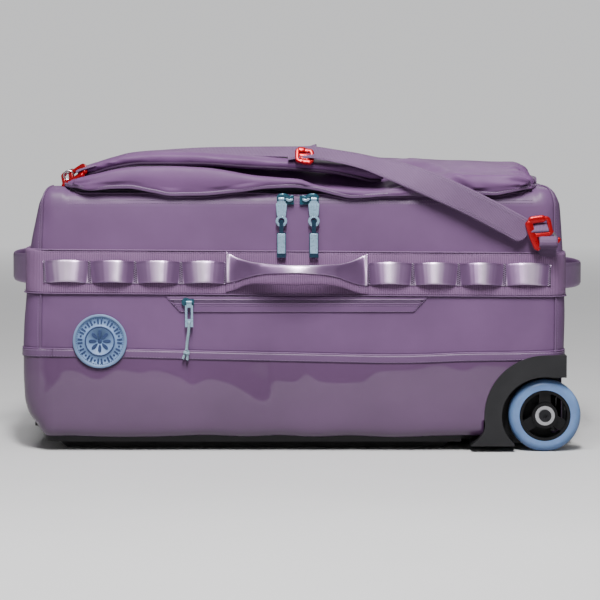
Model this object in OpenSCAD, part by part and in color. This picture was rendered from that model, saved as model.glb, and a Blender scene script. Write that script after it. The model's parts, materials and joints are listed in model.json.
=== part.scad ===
// Rolling duffel bag: soft body on a moulded base, two wheels, two-stage trolley
// handle, full-length lid with a two-slider zip, and a clip-on shoulder strap.
// X runs from the handle end (-X) to the wheel end (+X), -Y is the pocket side,
// Z is up, and the bag lies on its base on the plane Z = 0.

/* [Body] */
// Length of the soft body
body_l = 608; // [590:2:630]
// Width of the soft body
body_w = 340; // [330:2:380]
// Plan radius of the body's upright corners
corner_r = 28; // [20:1:34]
// Thickness of the laminated fabric walls
wall_t = 3; // [2:0.5:4]
// Height of the seam between the lower tub and the upper panels
tub_h = 112; // [108:1:118]
// Height at which the zip runs
zip_h = 285; // [284:0.5:287]

/* [Lid] */
// Height of the lid's crown above the floor
lid_top = 331; // [328:1:336]
// How far the lid's hem stands proud of the near panel
lid_overhang = 4; // [2:0.5:5]

/* [Wheels] */
// Wheel diameter
wheel_d = 82; // [76:1:84]
// Wheel width
wheel_w = 24; // [22:1:26]
// Diameter of the moulded hub inside the tyre
hub_d = 58; // [54:1:60]
// Width of each of the hub's three spokes
spoke_w = 13; // [9:1:15]
// Axle bolt diameter
axle_d = 8; // [7:0.5:8]
// Radius of the fender's outer arc around the axle
fender_r = 69; // [67:1:72]
// Radius of the wheel arch around the axle
arch_r = 49.5; // [47:0.5:51]

/* [Trolley handle] */
// Spacing of the two tubes, centre to centre
tube_pitch = 124; // [110:2:136]
// Outer diameter of the fixed tubes
tube_od = 22; // [21:0.5:22]
// Outer diameter of the first sliding stage
mid_od = 16.5; // [15.5:0.1:17]
// Outer diameter of the second sliding stage
inner_od = 14.36; // [13.5:0.02:14.36]
// Width of the grip across both tubes
grip_w = 160; // [150:2:176]

/* [Webbing] */
// Width of the wide band around the body
band_w = 51; // [48:1:52]
// Width of the narrow looped webbing
loop_w = 25; // [20:1:26]
// Height of the middle of both webbings above the floor
band_z = 203; // [201:1:204]
// Distance between the bar tacks of the looped webbing
tack_pitch = 51.6; // [48:0.2:52]
// How far each webbing loop bows out
loop_bow = 3.4; // [2:0.2:3.8]

/* [Shoulder strap] */
// Width of the strap's flat webbing
strap_w = 29; // [26:1:34]
// Thickness of the shoulder pad
pad_t = 10.5; // [8:0.5:10.5]

/* [Badge] */
// Diameter of the round rubber badge
badge_d = 61; // [50:1:62]

/* [Hidden] */
$fn = 48;

fabric = "#7b6182";
shiny = "#765f80";
strapc = "#8d7196";
satin = "#9c80ab";
black = "#2c2c2c";
blue = "#86a5d2";
red = "#c8101c";
steel = "#c9ccd0";
teal = "#8fb6c9";

xl = -body_l / 2;
xr = body_l / 2;
yn = -body_w / 2;
yf = body_w / 2;
floor_z = 18;          // underside of the fabric tub
top_z = 302;           // top of the decks at each end of the lid
lid_x0 = -262;
lid_x1 = 270;
rim_z = zip_h - 5;     // top edge of the near panel
hem_z = zip_h + 6;     // bottom edge of the lid
wheel_x = 281;
wheel_z = wheel_d / 2;
wheel_y = body_w / 2 - 14;   // middle of each wheel, either side
tube_z = 37;
tube_y = tube_pitch / 2;
cup_w = 184;
band_t = 2;
seam_l = -291;
seam_r = 293;
travel = 200;

// ---- helpers -------------------------------------------------------------
// prism over an XZ outline between two Y planes
module xz(y0, y1) { translate([0, y1, 0]) rotate([90, 0, 0]) linear_extrude(y1 - y0) children(); }
// prism over a YZ outline between two X planes: outline x -> Y, outline y -> Z
module yz(x0, x1) { translate([x0, 0, 0]) rotate([90, 0, 90]) linear_extrude(x1 - x0) children(); }
module box(a, b) { translate(a) cube([b[0] - a[0], b[1] - a[1], b[2] - a[2]]); }
module rrect(x0, x1, y0, y1, r) {
  translate([x0 + r, y0]) square([x1 - x0 - 2 * r, y1 - y0]);
  translate([x0, y0 + r]) square([x1 - x0, y1 - y0 - 2 * r]);
  for (x = [x0 + r, x1 - r], y = [y0 + r, y1 - r]) translate([x, y]) circle(r);
}
// a straight bar with round ends
module bar2d(p, q, w) {
  hull() {
    translate(p) circle(w / 2, $fn = 32);
    translate(q) circle(w / 2, $fn = 32);
  }
}
module cyl_x(r, x0, x1, y, z) { translate([x0, y, z]) rotate([0, 90, 0]) cylinder(r = r, h = x1 - x0); }
module cyl_y(r, y0, y1, x, z) { translate([x, y1, z]) rotate([90, 0, 0]) cylinder(r = r, h = y1 - y0); }
module both() { children(); mirror([0, 1, 0]) children(); }
function arc(cx, cy, r, a0, a1, n) = [for (i = [0:n]) [cx + r * cos(a0 + (a1 - a0) * i / n), cy + r * sin(a0 + (a1 - a0) * i / n)]];
function unit(v) = v / norm(v);
function lerp(a, b, t) = a + (b - a) * t;

// ---- soft body -----------------------------------------------------------
// side outline of the body, inset by t
function body_xz(t) = concat(
  arc(xl + 28, floor_z + 28, 28 - t, 180, 270, 6),
  arc(xr - 12, floor_z + 12, 12 - t, 270, 360, 4),
  arc(xr - 26, top_z - 26, 26 - t, 0, 90, 6),
  arc(xl + 40, top_z - 22, 22 - t, 90, 170, 5),
  [[xl + t, 200]]);
// end outline of the body, inset by t
function body_yz(t) = concat(
  arc(yn + 14, floor_z + 14, 14 - t, 180, 270, 5),
  arc(yf - 14, floor_z + 14, 14 - t, 270, 360, 5),
  arc(yf - 12, top_z - 12, 12 - t, 0, 90, 4),
  arc(yn + 12, top_z - 12, 12 - t, 90, 180, 4));
module body_solid(t) {
  intersection() {
    translate([0, 0, floor_z]) linear_extrude(top_z - floor_z) rrect(xl + t, xr - t, yn + t, yf - t, corner_r - t);
    xz(yn - 1, yf + 1) polygon(body_xz(t));
    yz(xl - 1, xr + 1) polygon(body_yz(t));
  }
}
module rim_cut() {
  box([lid_x0, yn - 5, rim_z], [lid_x1, yf - wall_t - 1, top_z + 5]);
  box([lid_x0, yf - wall_t - 2, hem_z - 0.4], [lid_x1, yf + 5, top_z + 5]);
}
module body_ring() {
  difference() {
    body_solid(0);
    body_solid(wall_t);
    rim_cut();
  }
}
module near_zone(s) {
  mirror([0, s, 0]) box([seam_l, yn - 5, tub_h], [seam_r, yn + corner_r + 1, top_z + 5]);
}
// outline of a wheel housing seen from the side
module housing2d() {
  intersection() {
    union() {
      translate([wheel_x, wheel_z]) circle(fender_r, $fn = 96);
      translate([wheel_x, wheel_z]) square([40, fender_r]);
      polygon([[wheel_x - fender_r + 2, 34], [wheel_x - fender_r - 1, 22], [wheel_x - fender_r - 7, 14],
        [wheel_x - fender_r - 15, 8], [wheel_x - fender_r - 15, 5], [240, 5], [240, 34]]);
    }
    translate([150, 7]) square([xr + 0.5 - 150, 200]);
  }
}
module housing_clear() {
  both() xz(yn - 10, yn + 42) housing2d();
}
module near_side_panel() color(fabric) intersection() { body_ring(); near_zone(0); }
module far_side_panel() color(fabric) intersection() { body_ring(); near_zone(1); }
module end_zone(x0, x1) {
  difference() {
    box([x0, yn - 5, tub_h], [x1, yf + 5, top_z + 5]);
    near_zone(0);
    near_zone(1);
  }
}
module left_end_panel() color(fabric) intersection() { body_ring(); end_zone(xl - 5, -150); }
module right_end_panel() color(fabric) intersection() { body_ring(); end_zone(150, xr + 5); }
module lower_tub() color(shiny) {
  difference() {
    intersection() {
      body_solid(0);
      box([xl - 5, yn - 5, floor_z - 1], [xr + 5, yf + 5, tub_h]);
    }
    intersection() {
      body_solid(wall_t);
      box([xl - 5, yn - 5, floor_z + wall_t], [xr + 5, yf + 5, tub_h + 5]);
    }
    housing_clear();
    box([xl - 5, -cup_w / 2, 21], [xl + 32, cup_w / 2, 53]);
  }
}
module liner_zone(t) {
  difference() {
    intersection() {
      body_solid(wall_t + 0.4 + t);
      box([xl + 2, yn, 57.5 + t], [xr, yf, rim_z - 5.5 + 12 * t]);
    }
    both() box([186 - t, yn - 1, 0], [xr + 1, yn + 46 + t, 118 + t]);
  }
}
module liner() color("#5e5566") difference() { liner_zone(0); liner_zone(1); }
module back_board() color(black) {
  box([-268, -118, 54], [290, 118, 57]);
  for (s = [-1, 1]) box([-268, s * 100 - 1.5, 21], [232, s * 100 + 1.5, 54]);
}

// ---- base ----------------------------------------------------------------
module base_tray() color(black) {
  difference() {
    translate([0, 0, 10]) linear_extrude(floor_z - 10) difference() {
      rrect(xl + 16, xr - 4, yn + 16, yf - 16, 16);
      for (s = [-1, 1]) translate([187, s > 0 ? yf - 46 : yn - 10]) square([150, 56]);
    }
    // moulded grooves along the underside
    for (y = [-80, -55, -30, 30, 55, 80]) box([-260, y - 4, 9], [250, y + 4, 13]);
  }
}
module skid_rails() color(black) {
  for (y = [-116, 0, 116]) xz(y - 7, y + 7) polygon([[-276, 10], [-264, 0], [168, 0], [180, 10]]);
}
module kick_plate() color(black) {
  box([xr, -126, 14], [xr + 3, 126, 66]);
  for (y = [-78, 78]) box([xr + 3, y - 22, 18], [xr + 12, y + 22, 40]);
}
module wheel_housing() {
  difference() {
    xz(yn - 5, yn + 38) housing2d();
    // wheel arch, open outwards, downwards and to the rear
    xz(yn - 6, yn + 30) union() {
      translate([wheel_x, wheel_z]) scale([1, 0.9]) circle(arch_r, $fn = 96);
      translate([wheel_x, -5]) square([60, 90]);
      translate([wheel_x - 35, -5]) square([60, 25]);
    }
    // inner wall trimmed behind the wheel
    box([299, yn - 6, 0], [320, yn + 39, 85]);
    box([290, yn - 6, 0], [320, yn + 39, 77]);
    // hollow back of the fender
    xz(yn - 1, yn + 39) intersection() {
      difference() {
        translate([wheel_x, wheel_z]) circle(fender_r - 4);
        translate([wheel_x, wheel_z]) circle(arch_r + 4);
      }
      translate([150, wheel_z]) square([wheel_x - 150, 100]);
    }
    cyl_y(axle_d / 2, yn - 6, yn + 40, wheel_x, wheel_z);
  }
}
module wheel_housing_near() color(black) wheel_housing();
module wheel_housing_far() color(black) mirror([0, 1, 0]) wheel_housing();

// ---- wheels: near side, mirrored for the far side -------------------------
// spins a profile of (radius, Y from the wheel's middle) about the axle
module about_axle() { translate([wheel_x, -wheel_y, wheel_z]) rotate([90, 0, 0]) rotate_extrude($fn = 96) children(); }
module tyre() {
  about_axle() {
    difference() {
      rrect(hub_d / 2 - 9, wheel_d / 2, -wheel_w / 2, wheel_w / 2, 8);
      translate([0, -20]) square([hub_d / 2, 40]);
    }
  }
}
module hub() {
  difference() {
    about_axle() difference() {
      union() {
        translate([hub_d / 2 - 3.5, -10]) square([3.5, 20]);
        translate([11, -6]) square([hub_d / 2 - 12, 12]);
        translate([11, -11]) square([3.5, 22]);
      }
    }
    difference() {
      cyl_y(hub_d / 2 - 3.5, -wheel_y - 20, -wheel_y + 20, wheel_x, wheel_z);
      cyl_y(14.5, -wheel_y - 21, -wheel_y + 21, wheel_x, wheel_z);
      for (a = [90, 210, 330]) translate([wheel_x, -wheel_y, wheel_z]) rotate([0, -a, 0])
        translate([0, -22, -spoke_w / 2]) cube([hub_d, 44, spoke_w]);
    }
  }
}
module bearing_outer() {
  about_axle() for (y = [4, -11]) {
    translate([9.2, y]) square([1.8, 7]);
    for (f = [0, 6.4]) translate([6.5, y + f]) square([2.7, 0.6]);
  }
}
module inner_races() {
  about_axle() {
    for (y = [4, -11]) translate([axle_d / 2, y]) square([2.1, 7]);
    translate([axle_d / 2, -4]) square([2.1, 8]);
    translate([axle_d / 2, -16]) square([2.1, 5]);
  }
}
module cyl_y_hex(r, y0, y1) { translate([wheel_x, y1, wheel_z]) rotate([90, 0, 0]) cylinder(r = r / cos(30), h = y1 - y0, $fn = 6); }
module axle_nut() {
  difference() {
    translate([wheel_x, yn + 44.5, wheel_z]) rotate([90, 0, 0]) cylinder(r = 7.5, h = 6.5, $fn = 6);
    cyl_y(axle_d / 2, yn + 30, yn + 50, wheel_x, wheel_z);
  }
}
module tyre_near() color(blue) tyre();
module tyre_far() color(blue) mirror([0, 1, 0]) tyre();
module hub_near() color(black) hub();
module hub_far() color(black) mirror([0, 1, 0]) hub();
module bearing_outer_near() color(steel) bearing_outer();
module bearing_outer_far() color(steel) mirror([0, 1, 0]) bearing_outer();
module bearing_inner_races() color(steel) both() inner_races();
module axle_bolts() color("#3a3c40") both() {
  difference() {
    union() {
      cyl_y(axle_d / 2, -wheel_y - 11, yn + 45.4, wheel_x, wheel_z);
      cyl_y(7, -wheel_y - 15, -wheel_y - 11, wheel_x, wheel_z);
    }
    cyl_y_hex(2.5, -wheel_y - 16, -wheel_y - 12);
  }
}
module axle_nuts() color(steel) both() axle_nut();

// ---- trolley handle --------------------------------------------------------
module tube(r, t, x0, x1) {
  both() difference() {
    cyl_x(r, x0, x1, -tube_y, tube_z);
    cyl_x(r - t, x0 - 1, x1 + 1, -tube_y, tube_z);
  }
}
module outer_tubes() color(steel) tube(tube_od / 2, 1, xl + 32, 240);
module outer_bushes() color(black) both() difference() {
  cyl_x(tube_od / 2 - 1, xl + 32, xl + 54, -tube_y, tube_z);
  cyl_x(mid_od / 2 + 0.08, xl + 31, xl + 55, -tube_y, tube_z);
}
module tube_anchor() color(black) difference() {
  box([236, -84, 21], [262, 84, 54]);
  both() cyl_x(tube_od / 2, 230, 240, -tube_y, tube_z);
  both() cyl_x(mid_od / 2, 239, 264, -tube_y, tube_z);
}
module handle_cup() color(black) difference() {
  box([xl, -cup_w / 2, 21], [xl + 32, cup_w / 2, 53]);
  box([xl - 1, -cup_w / 2 + 3, 24], [xl + 29, cup_w / 2 - 3, 50]);
  both() cyl_x(mid_od / 2 + 0.6, xl + 28, xl + 33, -tube_y, tube_z);
}
module mid_tubes() color(steel) tube(mid_od / 2, 1, xl + 29.5, 215);
module inner_tubes() color(steel) tube(inner_od / 2, 1, xl + 20, 200);
module grip_half(z0, z1) {
  difference() {
    translate([0, 0, z0]) linear_extrude(z1 - z0) rrect(xl + 4, xl + 26, -grip_w / 2, grip_w / 2, 8);
    box([xl + 10, -70, 31], [xl + 20, 70, 43]);
    box([xl + 3, -12, 32], [xl + 11, 12, 42]);
    both() cyl_x(inner_od / 2, xl + 20, xl + 27, -tube_y, tube_z);
    both() cyl_x(5, xl + 18, xl + 21, -tube_y, tube_z);
  }
}
module grip_top() color(black) grip_half(tube_z, 48);
module grip_bottom() color(black) grip_half(26, tube_z);
module release_button() color("#4a4a4c") {
  box([xl + 1, -11.6, 32.4], [xl + 13, 11.6, 41.6]);
  box([xl + 11, -66, 33], [xl + 16, 66, 41]);
}
module release_rods() color(steel) both() cyl_x(1.5, xl + 16, 190, -tube_y, tube_z);

// ---- lid -------------------------------------------------------------------
function lid_xz(t) = [[lid_x0 + 1 + t, hem_z], [lid_x0 + 1 + t, 298 - t], [lid_x0 + 14, 305 - t], [-222, 313 - t],
  [-190, 321 - t], [-150, 327 - t], [-90, lid_top - 1 - t], [0, lid_top - t], [200, lid_top - 1 - t],
  [248, lid_top - 3 - t], [260, lid_top - 7 - t], [lid_x1 - 1 - t, 317 - t], [lid_x1 - 1 - t, hem_z]];
function lid_yz(t, d) = [[yn - lid_overhang + t, hem_z], [yn - lid_overhang + t, 303 - 0.7 * d], [yn + t, 310 - d - t],
  [yn + 9, 315.5 - d - t], [yn + 56, 317 - d - t], [yn + 74, 326 - d / 2 - t], [yn + 105, lid_top - t], [60, lid_top - t], [130, 326 - t],
  [160, 314 - t], [yf - t, 302], [yf - t, hem_z]];
module lid_solid(t) {
  intersection() {
    translate([0, 0, hem_z]) linear_extrude(60) rrect(lid_x0 + 1 + t, lid_x1 - 1 - t, yn - lid_overhang + t, yf - t, 36 - t);
    xz(yn - 10, yf + 10) polygon(lid_xz(t));
    // the ledge that the strap pad lies on steps down towards the pad's tip
    union() {
      yz(lid_x0, lid_x1) polygon(lid_yz(t, 11));
      yz(lid_x0, 20 - t) polygon(lid_yz(t, 4));
      yz(lid_x0, -40 - t) polygon(lid_yz(t, 0));
      yz(112 + t, lid_x1) polygon(lid_yz(t, 3));
    }
  }
}
module lid_shell() difference() { lid_solid(0); translate([0, 0, -0.5]) lid_solid(wall_t); }
module lid_top_panel() color(fabric) intersection() { lid_shell(); box([-300, -200, 309], [300, 200, 345]); }
module lid_side_wall() color(fabric) intersection() { lid_shell(); box([-300, -200, 280], [300, 200, 309]); }
// one half of the zip: a tape along the near side and both ends, open at the far side
module zip_loop(x0, x1, z0, z1) {
  translate([0, 0, z0]) linear_extrude(z1 - z0) difference() {
    rrect(x0, x1, yn + wall_t, yf, 33);
    rrect(x0 + 2, x1 - 2, yn + wall_t + 2, yf - 2, 31);
    translate([x0 - 5, 140]) square([x1 - x0 + 10, 60]);
  }
}
module body_zip_tape() color("#4d3c55") {
  zip_loop(lid_x0, lid_x1, rim_z - 4, zip_h - 0.2);
  for (x = [lid_x0 - 2.5, lid_x1]) box([x, -132, rim_z - 4], [x + 2.5, 140, top_z - wall_t - 0.02]);
}
module lid_zip_tape() color("#4d3c55") {
  zip_loop(lid_x0 + 1, lid_x1 - 1, zip_h + 0.2, hem_z);
  box([lid_x0 + 38, yn - lid_overhang + wall_t, hem_z], [lid_x1 - 38, yn + 5, hem_z + 3]);
}

// ---- zip sliders and pulls ---------------------------------------------------
// slider body with two ears that hold the tab's pin at X = xp
module slider(x0, x1, xp) {
  box([x0, yn - 3.5, rim_z + 0.5], [x1, yn + 1.7, hem_z - 0.6]);
  for (s = [-1, 1]) box([xp + s * 4.1 - 0.7, yn - 7.2, pull_z - 1.8], [xp + s * 4.1 + 0.7, yn - 3.5, pull_z + 1.8]);
  cyl_x(1.05, xp - 4, xp + 4, yn - 6.2, pull_z);
}
// tab hanging from the slider's pin, drawn with the pin at X = 0, Z = 0
module pull_tab() {
  y = yn - 6.2;
  difference() {
    union() {
      xz(y - 1.1, y + 1.1) {
        translate([-3.1, -4]) square([6.2, 4]);
        translate([-4.6, -25]) square([9.2, 22]);
        translate([0, -25]) circle(6.4);
      }
      cyl_x(2.2, -3.1, 3.1, y, 0);
    }
    cyl_x(1.12, -4, 4, y, 0);
    cyl_y(3.4, y - 2, y + 2, 0, -25);
  }
}
// bar looped through the tab's ring
module pull_bar() {
  y = yn - 6.2;
  for (s = [-1, 1]) box([-2.3, y + s * 2.4 - 0.4, -33], [2.3, y + s * 2.4 + 0.4, -23.6]);
  box([-2.3, y - 2.4, -25.2], [2.3, y + 2.4, -23.8]);
  box([-2.3, y - 2.8, -39], [2.3, y + 2.8, -32]);
  xz(y - 2.6, y + 1.9) {
    translate([-5.1, -66]) square([10.2, 28]);
  }
}
pull_z = zip_h + 2;
slx_l = -17.5;
slx_r = 19;
module slider_left() color("#3f7288") slider(slx_l - 5, slx_l + 14, slx_l);
module slider_right() color("#3f7288") slider(slx_r - 16, slx_r + 5.5, slx_r);
module pull_tab_left() color(teal) translate([slx_l, 0, pull_z]) pull_tab();
module pull_tab_right() color(teal) translate([slx_r, 0, pull_z]) pull_tab();
module pull_bar_left() color("#9cc2e0") translate([slx_l, 0, pull_z]) pull_bar();
module pull_bar_right() color("#9cc2e0") translate([slx_r, 0, pull_z]) pull_bar();

// ---- webbing ---------------------------------------------------------------
module webbing_band() color(strapc) difference() {
  translate([0, 0, band_z - band_w / 2]) linear_extrude(band_w) difference() {
    rrect(xl - band_t, xr + band_t, yn - band_t, yf + band_t, corner_r + band_t);
    rrect(xl, xr, yn, yf, corner_r);
  }
}
function bow(u) = loop_bow * pow(sin(180 * u), 2);
function chain(x0, n, off) = [for (i = [0:n * 8]) [x0 + i * tack_pitch / 8, -(-yn + band_t + bow((i % 8) / 8) + off)]];
function rev(v) = [for (i = [len(v) - 1:-1:0]) v[i]];
module chain_strip(x0, n) {
  translate([0, 0, band_z - loop_w / 2]) linear_extrude(loop_w) polygon(concat(chain(x0, n, 0), rev(chain(x0, n, 1.4))));
}
module daisy_chains() color(satin) both() {
  chain_strip(-79 - 4 * tack_pitch, 4);
  chain_strip(79, 4);
}
// a handle strap bowing out between two sewn ends: a half-span, b stand-off, w thickness
function bow_curve(a, b, off, n) = [for (i = [0:n]) let (u = -1 + 2 * i / n) [u * a, -(b * pow(cos(90 * u), 0.8) + off)]];
module bow_handle(a, b, w, z0, z1) {
  translate([0, 0, z0]) linear_extrude(z1 - z0) polygon(concat(bow_curve(a, b, 0, 16), rev(bow_curve(a, b, w, 16))));
}
module side_handle() {
  translate([0, yn - band_t, 0]) {
    bow_handle(66, 17, 5, 191, 212);
    for (s = [-1, 1]) box([s * 71.6 - 6.6, -3, 184], [s * 71.6 + 6.6, 0, 219]);
  }
}
module side_handles() color(satin) both() side_handle();
module end_handles() color(satin) {
  translate([xl - band_t, 0, 0]) rotate([0, 0, -90]) {
    bow_handle(68, 28, 4, 184, 217);
    for (s = [-1, 1]) box([s * 73 - 7, -3, 181], [s * 73 + 7, 0, 220]);
  }
  translate([xr + band_t, 0, 0]) rotate([0, 0, 90]) {
    bow_handle(68, 28, 4, 180, 211);
    for (s = [-1, 1]) box([s * 73 - 7, -3, 181], [s * 73 + 7, 0, 220]);
  }
}

// ---- pocket on the near side ---------------------------------------------------
module pocket_welt() color(fabric) xz(yn - 1.5, yn) polygon([[-148, 175.4], [-132, 158], [132, 158], [148, 175.4]]);
module pocket_zip_coil() color("#4d3c55") box([-134, yn - 2.6, 169], [134, yn - 1.5, 172.4]);
pk_x = -122;
pk_z = 170.7;
// the pocket's slider holds its tab on a pin between two ears
module pocket_slider() color("#3f7288") {
  xz(yn - 5.4, yn - 2.9) translate([pk_x, pk_z]) {
    translate([-3, 0]) circle(5);
    translate([-3, -3.5]) square([9, 7]);
  }
  for (x = [-4.1, 4.2]) box([pk_x + x, yn - 9.2, pk_z - 1.6], [pk_x + x + 1.1, yn - 5.3, pk_z + 1.6]);
  cyl_x(0.8, pk_x - 3.2, pk_x + 4.4, yn - 7.7, pk_z);
}
module pocket_tab() color(teal) {
  difference() {
    union() {
      xz(yn - 8.6, yn - 6.8) translate([pk_x, pk_z]) difference() {
        union() {
          translate([-4, -28]) square([9, 24.6]);
          translate([-2.4, -4]) square([5.8, 4]);
        }
        translate([0.5, -24]) circle(1.9);
        translate([-1.5, -19]) square([4, 13]);
      }
      cyl_x(1.6, pk_x - 2.4, pk_x + 3.4, yn - 7.7, pk_z);
    }
    cyl_x(0.88, pk_x - 5, pk_x + 6, yn - 7.7, pk_z);
  }
}
// swept tube with 8 sides along a list of points, for the pull cord
function ring(p, d, r) = let (a = unit(cross(d, [0, 1, 0])), b = cross(d, a)) [for (k = [0:7]) p + r * (cos(45 * k) * a + sin(45 * k) * b)];
module sweep_tube(pts, r) {
  n = len(pts);
  dirs = [for (i = [0:n - 1]) unit(pts[min(i + 1, n - 1)] - pts[max(i - 1, 0)])];
  v = [for (i = [0:n - 1]) each ring(pts[i], dirs[i], r)];
  f = concat([[for (k = [0:7]) k]],
    [for (i = [0:n - 2], k = [0:7]) [i * 8 + k, (i + 1) * 8 + k, (i + 1) * 8 + (k + 1) % 8, i * 8 + (k + 1) % 8]],
    [[for (k = [7:-1:0]) (n - 1) * 8 + k]]);
  polyhedron(points = v, faces = f);
}
cord_pts = [[-121.5, yn - 7.9, 145], [-121.8, yn - 8.2, 140], [-122.3, yn - 7.9, 134], [-123, yn - 7.2, 128],
  [-123.8, yn - 6.4, 122], [-124.5, yn - 5.6, 117], [-125, yn - 5, 112], [-125.4, yn - 4.6, 108], [-125.6, yn - 4.4, 104]];
module pocket_cord() color("#a8cbe2") sweep_tube(cord_pts, 1.6);

module badge() color(blue) {
  difference() {
    cyl_y(badge_d / 2, yn - 3.5, yn, -222.5, 126.2);
    cyl_y(badge_d / 2 - 2.5, yn - 4, yn - 2.6, -222.5, 126.2);
  }
}

// ---- shoulder strap ------------------------------------------------------------
pad_b = [[-229, 315], [-205, 319.5], [-165, 323], [-110, 322.5], [-57, 319.5], [0, 317.8], [28, 315.2], [50, 311], [80, 306.8]];
module strap_pad() color(strapc) {
  xz(yn + 12, yn + 54) difference() {
    polygon(concat(pad_b, [[91, 308]], [[91, 315]], rev([for (p = pad_b) [p[0], p[1] + pad_t]])));
  }
}
// ribbon of rectangular section: stations of [centre, face normal]
function rib(st, i, w, t) = let (n = len(st), p = st[i][0], nn = unit(st[i][1]),
    d = unit(st[min(i + 1, n - 1)][0] - st[max(i - 1, 0)][0]), s = unit(cross(nn, d)), m = cross(d, s))
  [p + s * w / 2 + m * t / 2, p - s * w / 2 + m * t / 2, p - s * w / 2 - m * t / 2, p + s * w / 2 - m * t / 2];
module ribbon(st, w, t) {
  n = len(st);
  v = [for (i = [0:n - 1]) each rib(st, i, w, t)];
  f = concat([[3, 2, 1, 0]],
    [for (i = [0:n - 2], k = [0:3]) each [[i * 4 + k, i * 4 + (k + 1) % 4, (i + 1) * 4 + k], [i * 4 + (k + 1) % 4, (i + 1) * 4 + (k + 1) % 4, (i + 1) * 4 + k]]],
    [[(n - 1) * 4, (n - 1) * 4 + 1, (n - 1) * 4 + 2, (n - 1) * 4 + 3]]);
  polyhedron(points = v, faces = f);
}
strap_st = [
  [[-168, yn + 34, 337], [0, 0, 1]], [[-110, yn + 34, 337.5], [0, 0, 1]], [[-40, yn + 28, 338.6], [0, -0.25, 1]],
  [[10, yn + 21, 340.4], [0, -0.364, 1]], [[40, yn + 17, 335.5], [0, -0.4, 1]], [[84, yn + 10, 326], [0, -0.45, 1]],
  [[110, yn + 2, 317.5], [0, -1, 0.8]], [[146, yn - 9.8, 303], [0, -1, 0.3]], [[181, yn - 13.2, 287.5], [0, -1, 0]],
  [[220, yn - 14.4, 268], [0, -1, 0]], [[245.5, yn - 14.9, 255.2], [0, -1, 0]]];
module strap_webbing() color(strapc) ribbon(strap_st, strap_w, 2.6);
module strap_adjuster() color(red) translate([7, yn + 20, 334.3]) rotate([20, 0, 0]) difference() {
  box([-11, -15, -2], [11, 15, 2]);
  box([-7, -12, -3], [-2, 12, 3]);
  box([2, -12, -3], [7, 12, 3]);
}
// flat gate hook: spine, three arms, closed strap window; drawn in its own plane, strap at the top
module hook2d() {
  bar2d([0, 0], [14, -36], 6.5);
  bar2d([0, 0], [24, 3], 6);
  bar2d([24, 3], [27, -14], 3.6);
  bar2d([7, -18], [27, -14], 4.4);
  bar2d([11, -28.5], [36, -26.4], 4.4);
  bar2d([36, -26.4], [37, -22], 4);
}
hook_pin = [29.5, -15.5];
module hook_plate() {
  difference() {
    translate([0, 0, -2.5]) linear_extrude(5) {
      hook2d();
      bar2d([25.7, -14.3], hook_pin, 4.1);
    }
    translate([26.2, -19.2, -1.1]) cube([6.5, 7.9, 2.2]);
  }
  translate([hook_pin[0], hook_pin[1], -1.6]) cylinder(r = 0.6, h = 3.2);
}
// spring wire gate on a pin at the middle arm's end, closing inside the nose
module gate_wire() {
  difference() {
    translate([0, 0, -0.8]) linear_extrude(1.6) bar2d(hook_pin, [33.1, -21.4], 2);
    translate([hook_pin[0], hook_pin[1], -2]) cylinder(r = 0.66, h = 4);
  }
}
module at_hook_right() { translate([257, yn - 15, 266]) rotate([90, 0, 0]) children(); }
module at_hook_left() { translate([-236.5, yn + 16, 326]) rotate([0, -30, 0]) rotate([0, 0, 90]) rotate([180, 0, 0]) children(); }
module hook_right() color(red) at_hook_right() hook_plate();
module hook_left() color(red) at_hook_left() hook_plate();
module gate_right() color(steel) at_hook_right() gate_wire();
module gate_left() color(steel) at_hook_left() gate_wire();
// webbing loop sewn to the band, around the right hook's lower arm
module strap_anchor_right() color(strapc) yz(274.8, 284.4) {
  difference() {
    translate([yn - 21.5, 229]) square([13, 17]);
    translate([yn - 19.9, 230.6]) square([9.8, 13.8]);
  }
  polygon([[yn - 15, 229], [yn - 8.5, 229], [yn - 2, 221], [yn - 2, 217]]);
}
// loop on the lid's corner, around the left hook's lower arm
module strap_anchor_left() color(steel) xz(yn + 34.4, yn + 43.4) {
  translate([-259.9, 312.5]) rotate(30) difference() {
    translate([-6.5, -5.5]) square([13, 11]);
    translate([-5.2, -4.2]) square([10.4, 8.4]);
  }
  polygon([[-257.1, 307.8], [-253.3, 310], [-248.6, 305.8], [-253, 303.4]]);
}

// ---- drawing -----------------------------------------------------------------
base_tray();
skid_rails();
wheel_housing_near();
wheel_housing_far();
kick_plate();
back_board();
outer_tubes();
outer_bushes();
tube_anchor();
handle_cup();
bearing_inner_races();
axle_bolts();
axle_nuts();
near_side_panel();
far_side_panel();
left_end_panel();
right_end_panel();
lower_tub();
liner();
body_zip_tape();
webbing_band();
daisy_chains();
side_handles();
end_handles();
pocket_welt();
pocket_zip_coil();
badge();
strap_anchor_right();
lid_top_panel();
lid_side_wall();
lid_zip_tape();
strap_pad();
strap_webbing();
strap_adjuster();
hook_left();
hook_right();
strap_anchor_left();
gate_left();
gate_right();
tyre_near();
hub_near();
bearing_outer_near();
tyre_far();
hub_far();
bearing_outer_far();
mid_tubes();
inner_tubes();
grip_top();
grip_bottom();
release_button();
release_rods();
slider_left();
slider_right();
pull_tab_left();
pull_tab_right();
pull_bar_left();
pull_bar_right();
pocket_slider();
pocket_tab();
pocket_cord();
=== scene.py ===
import bpy, math, json
import numpy as np
from mathutils import Vector, Matrix, Euler

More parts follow.
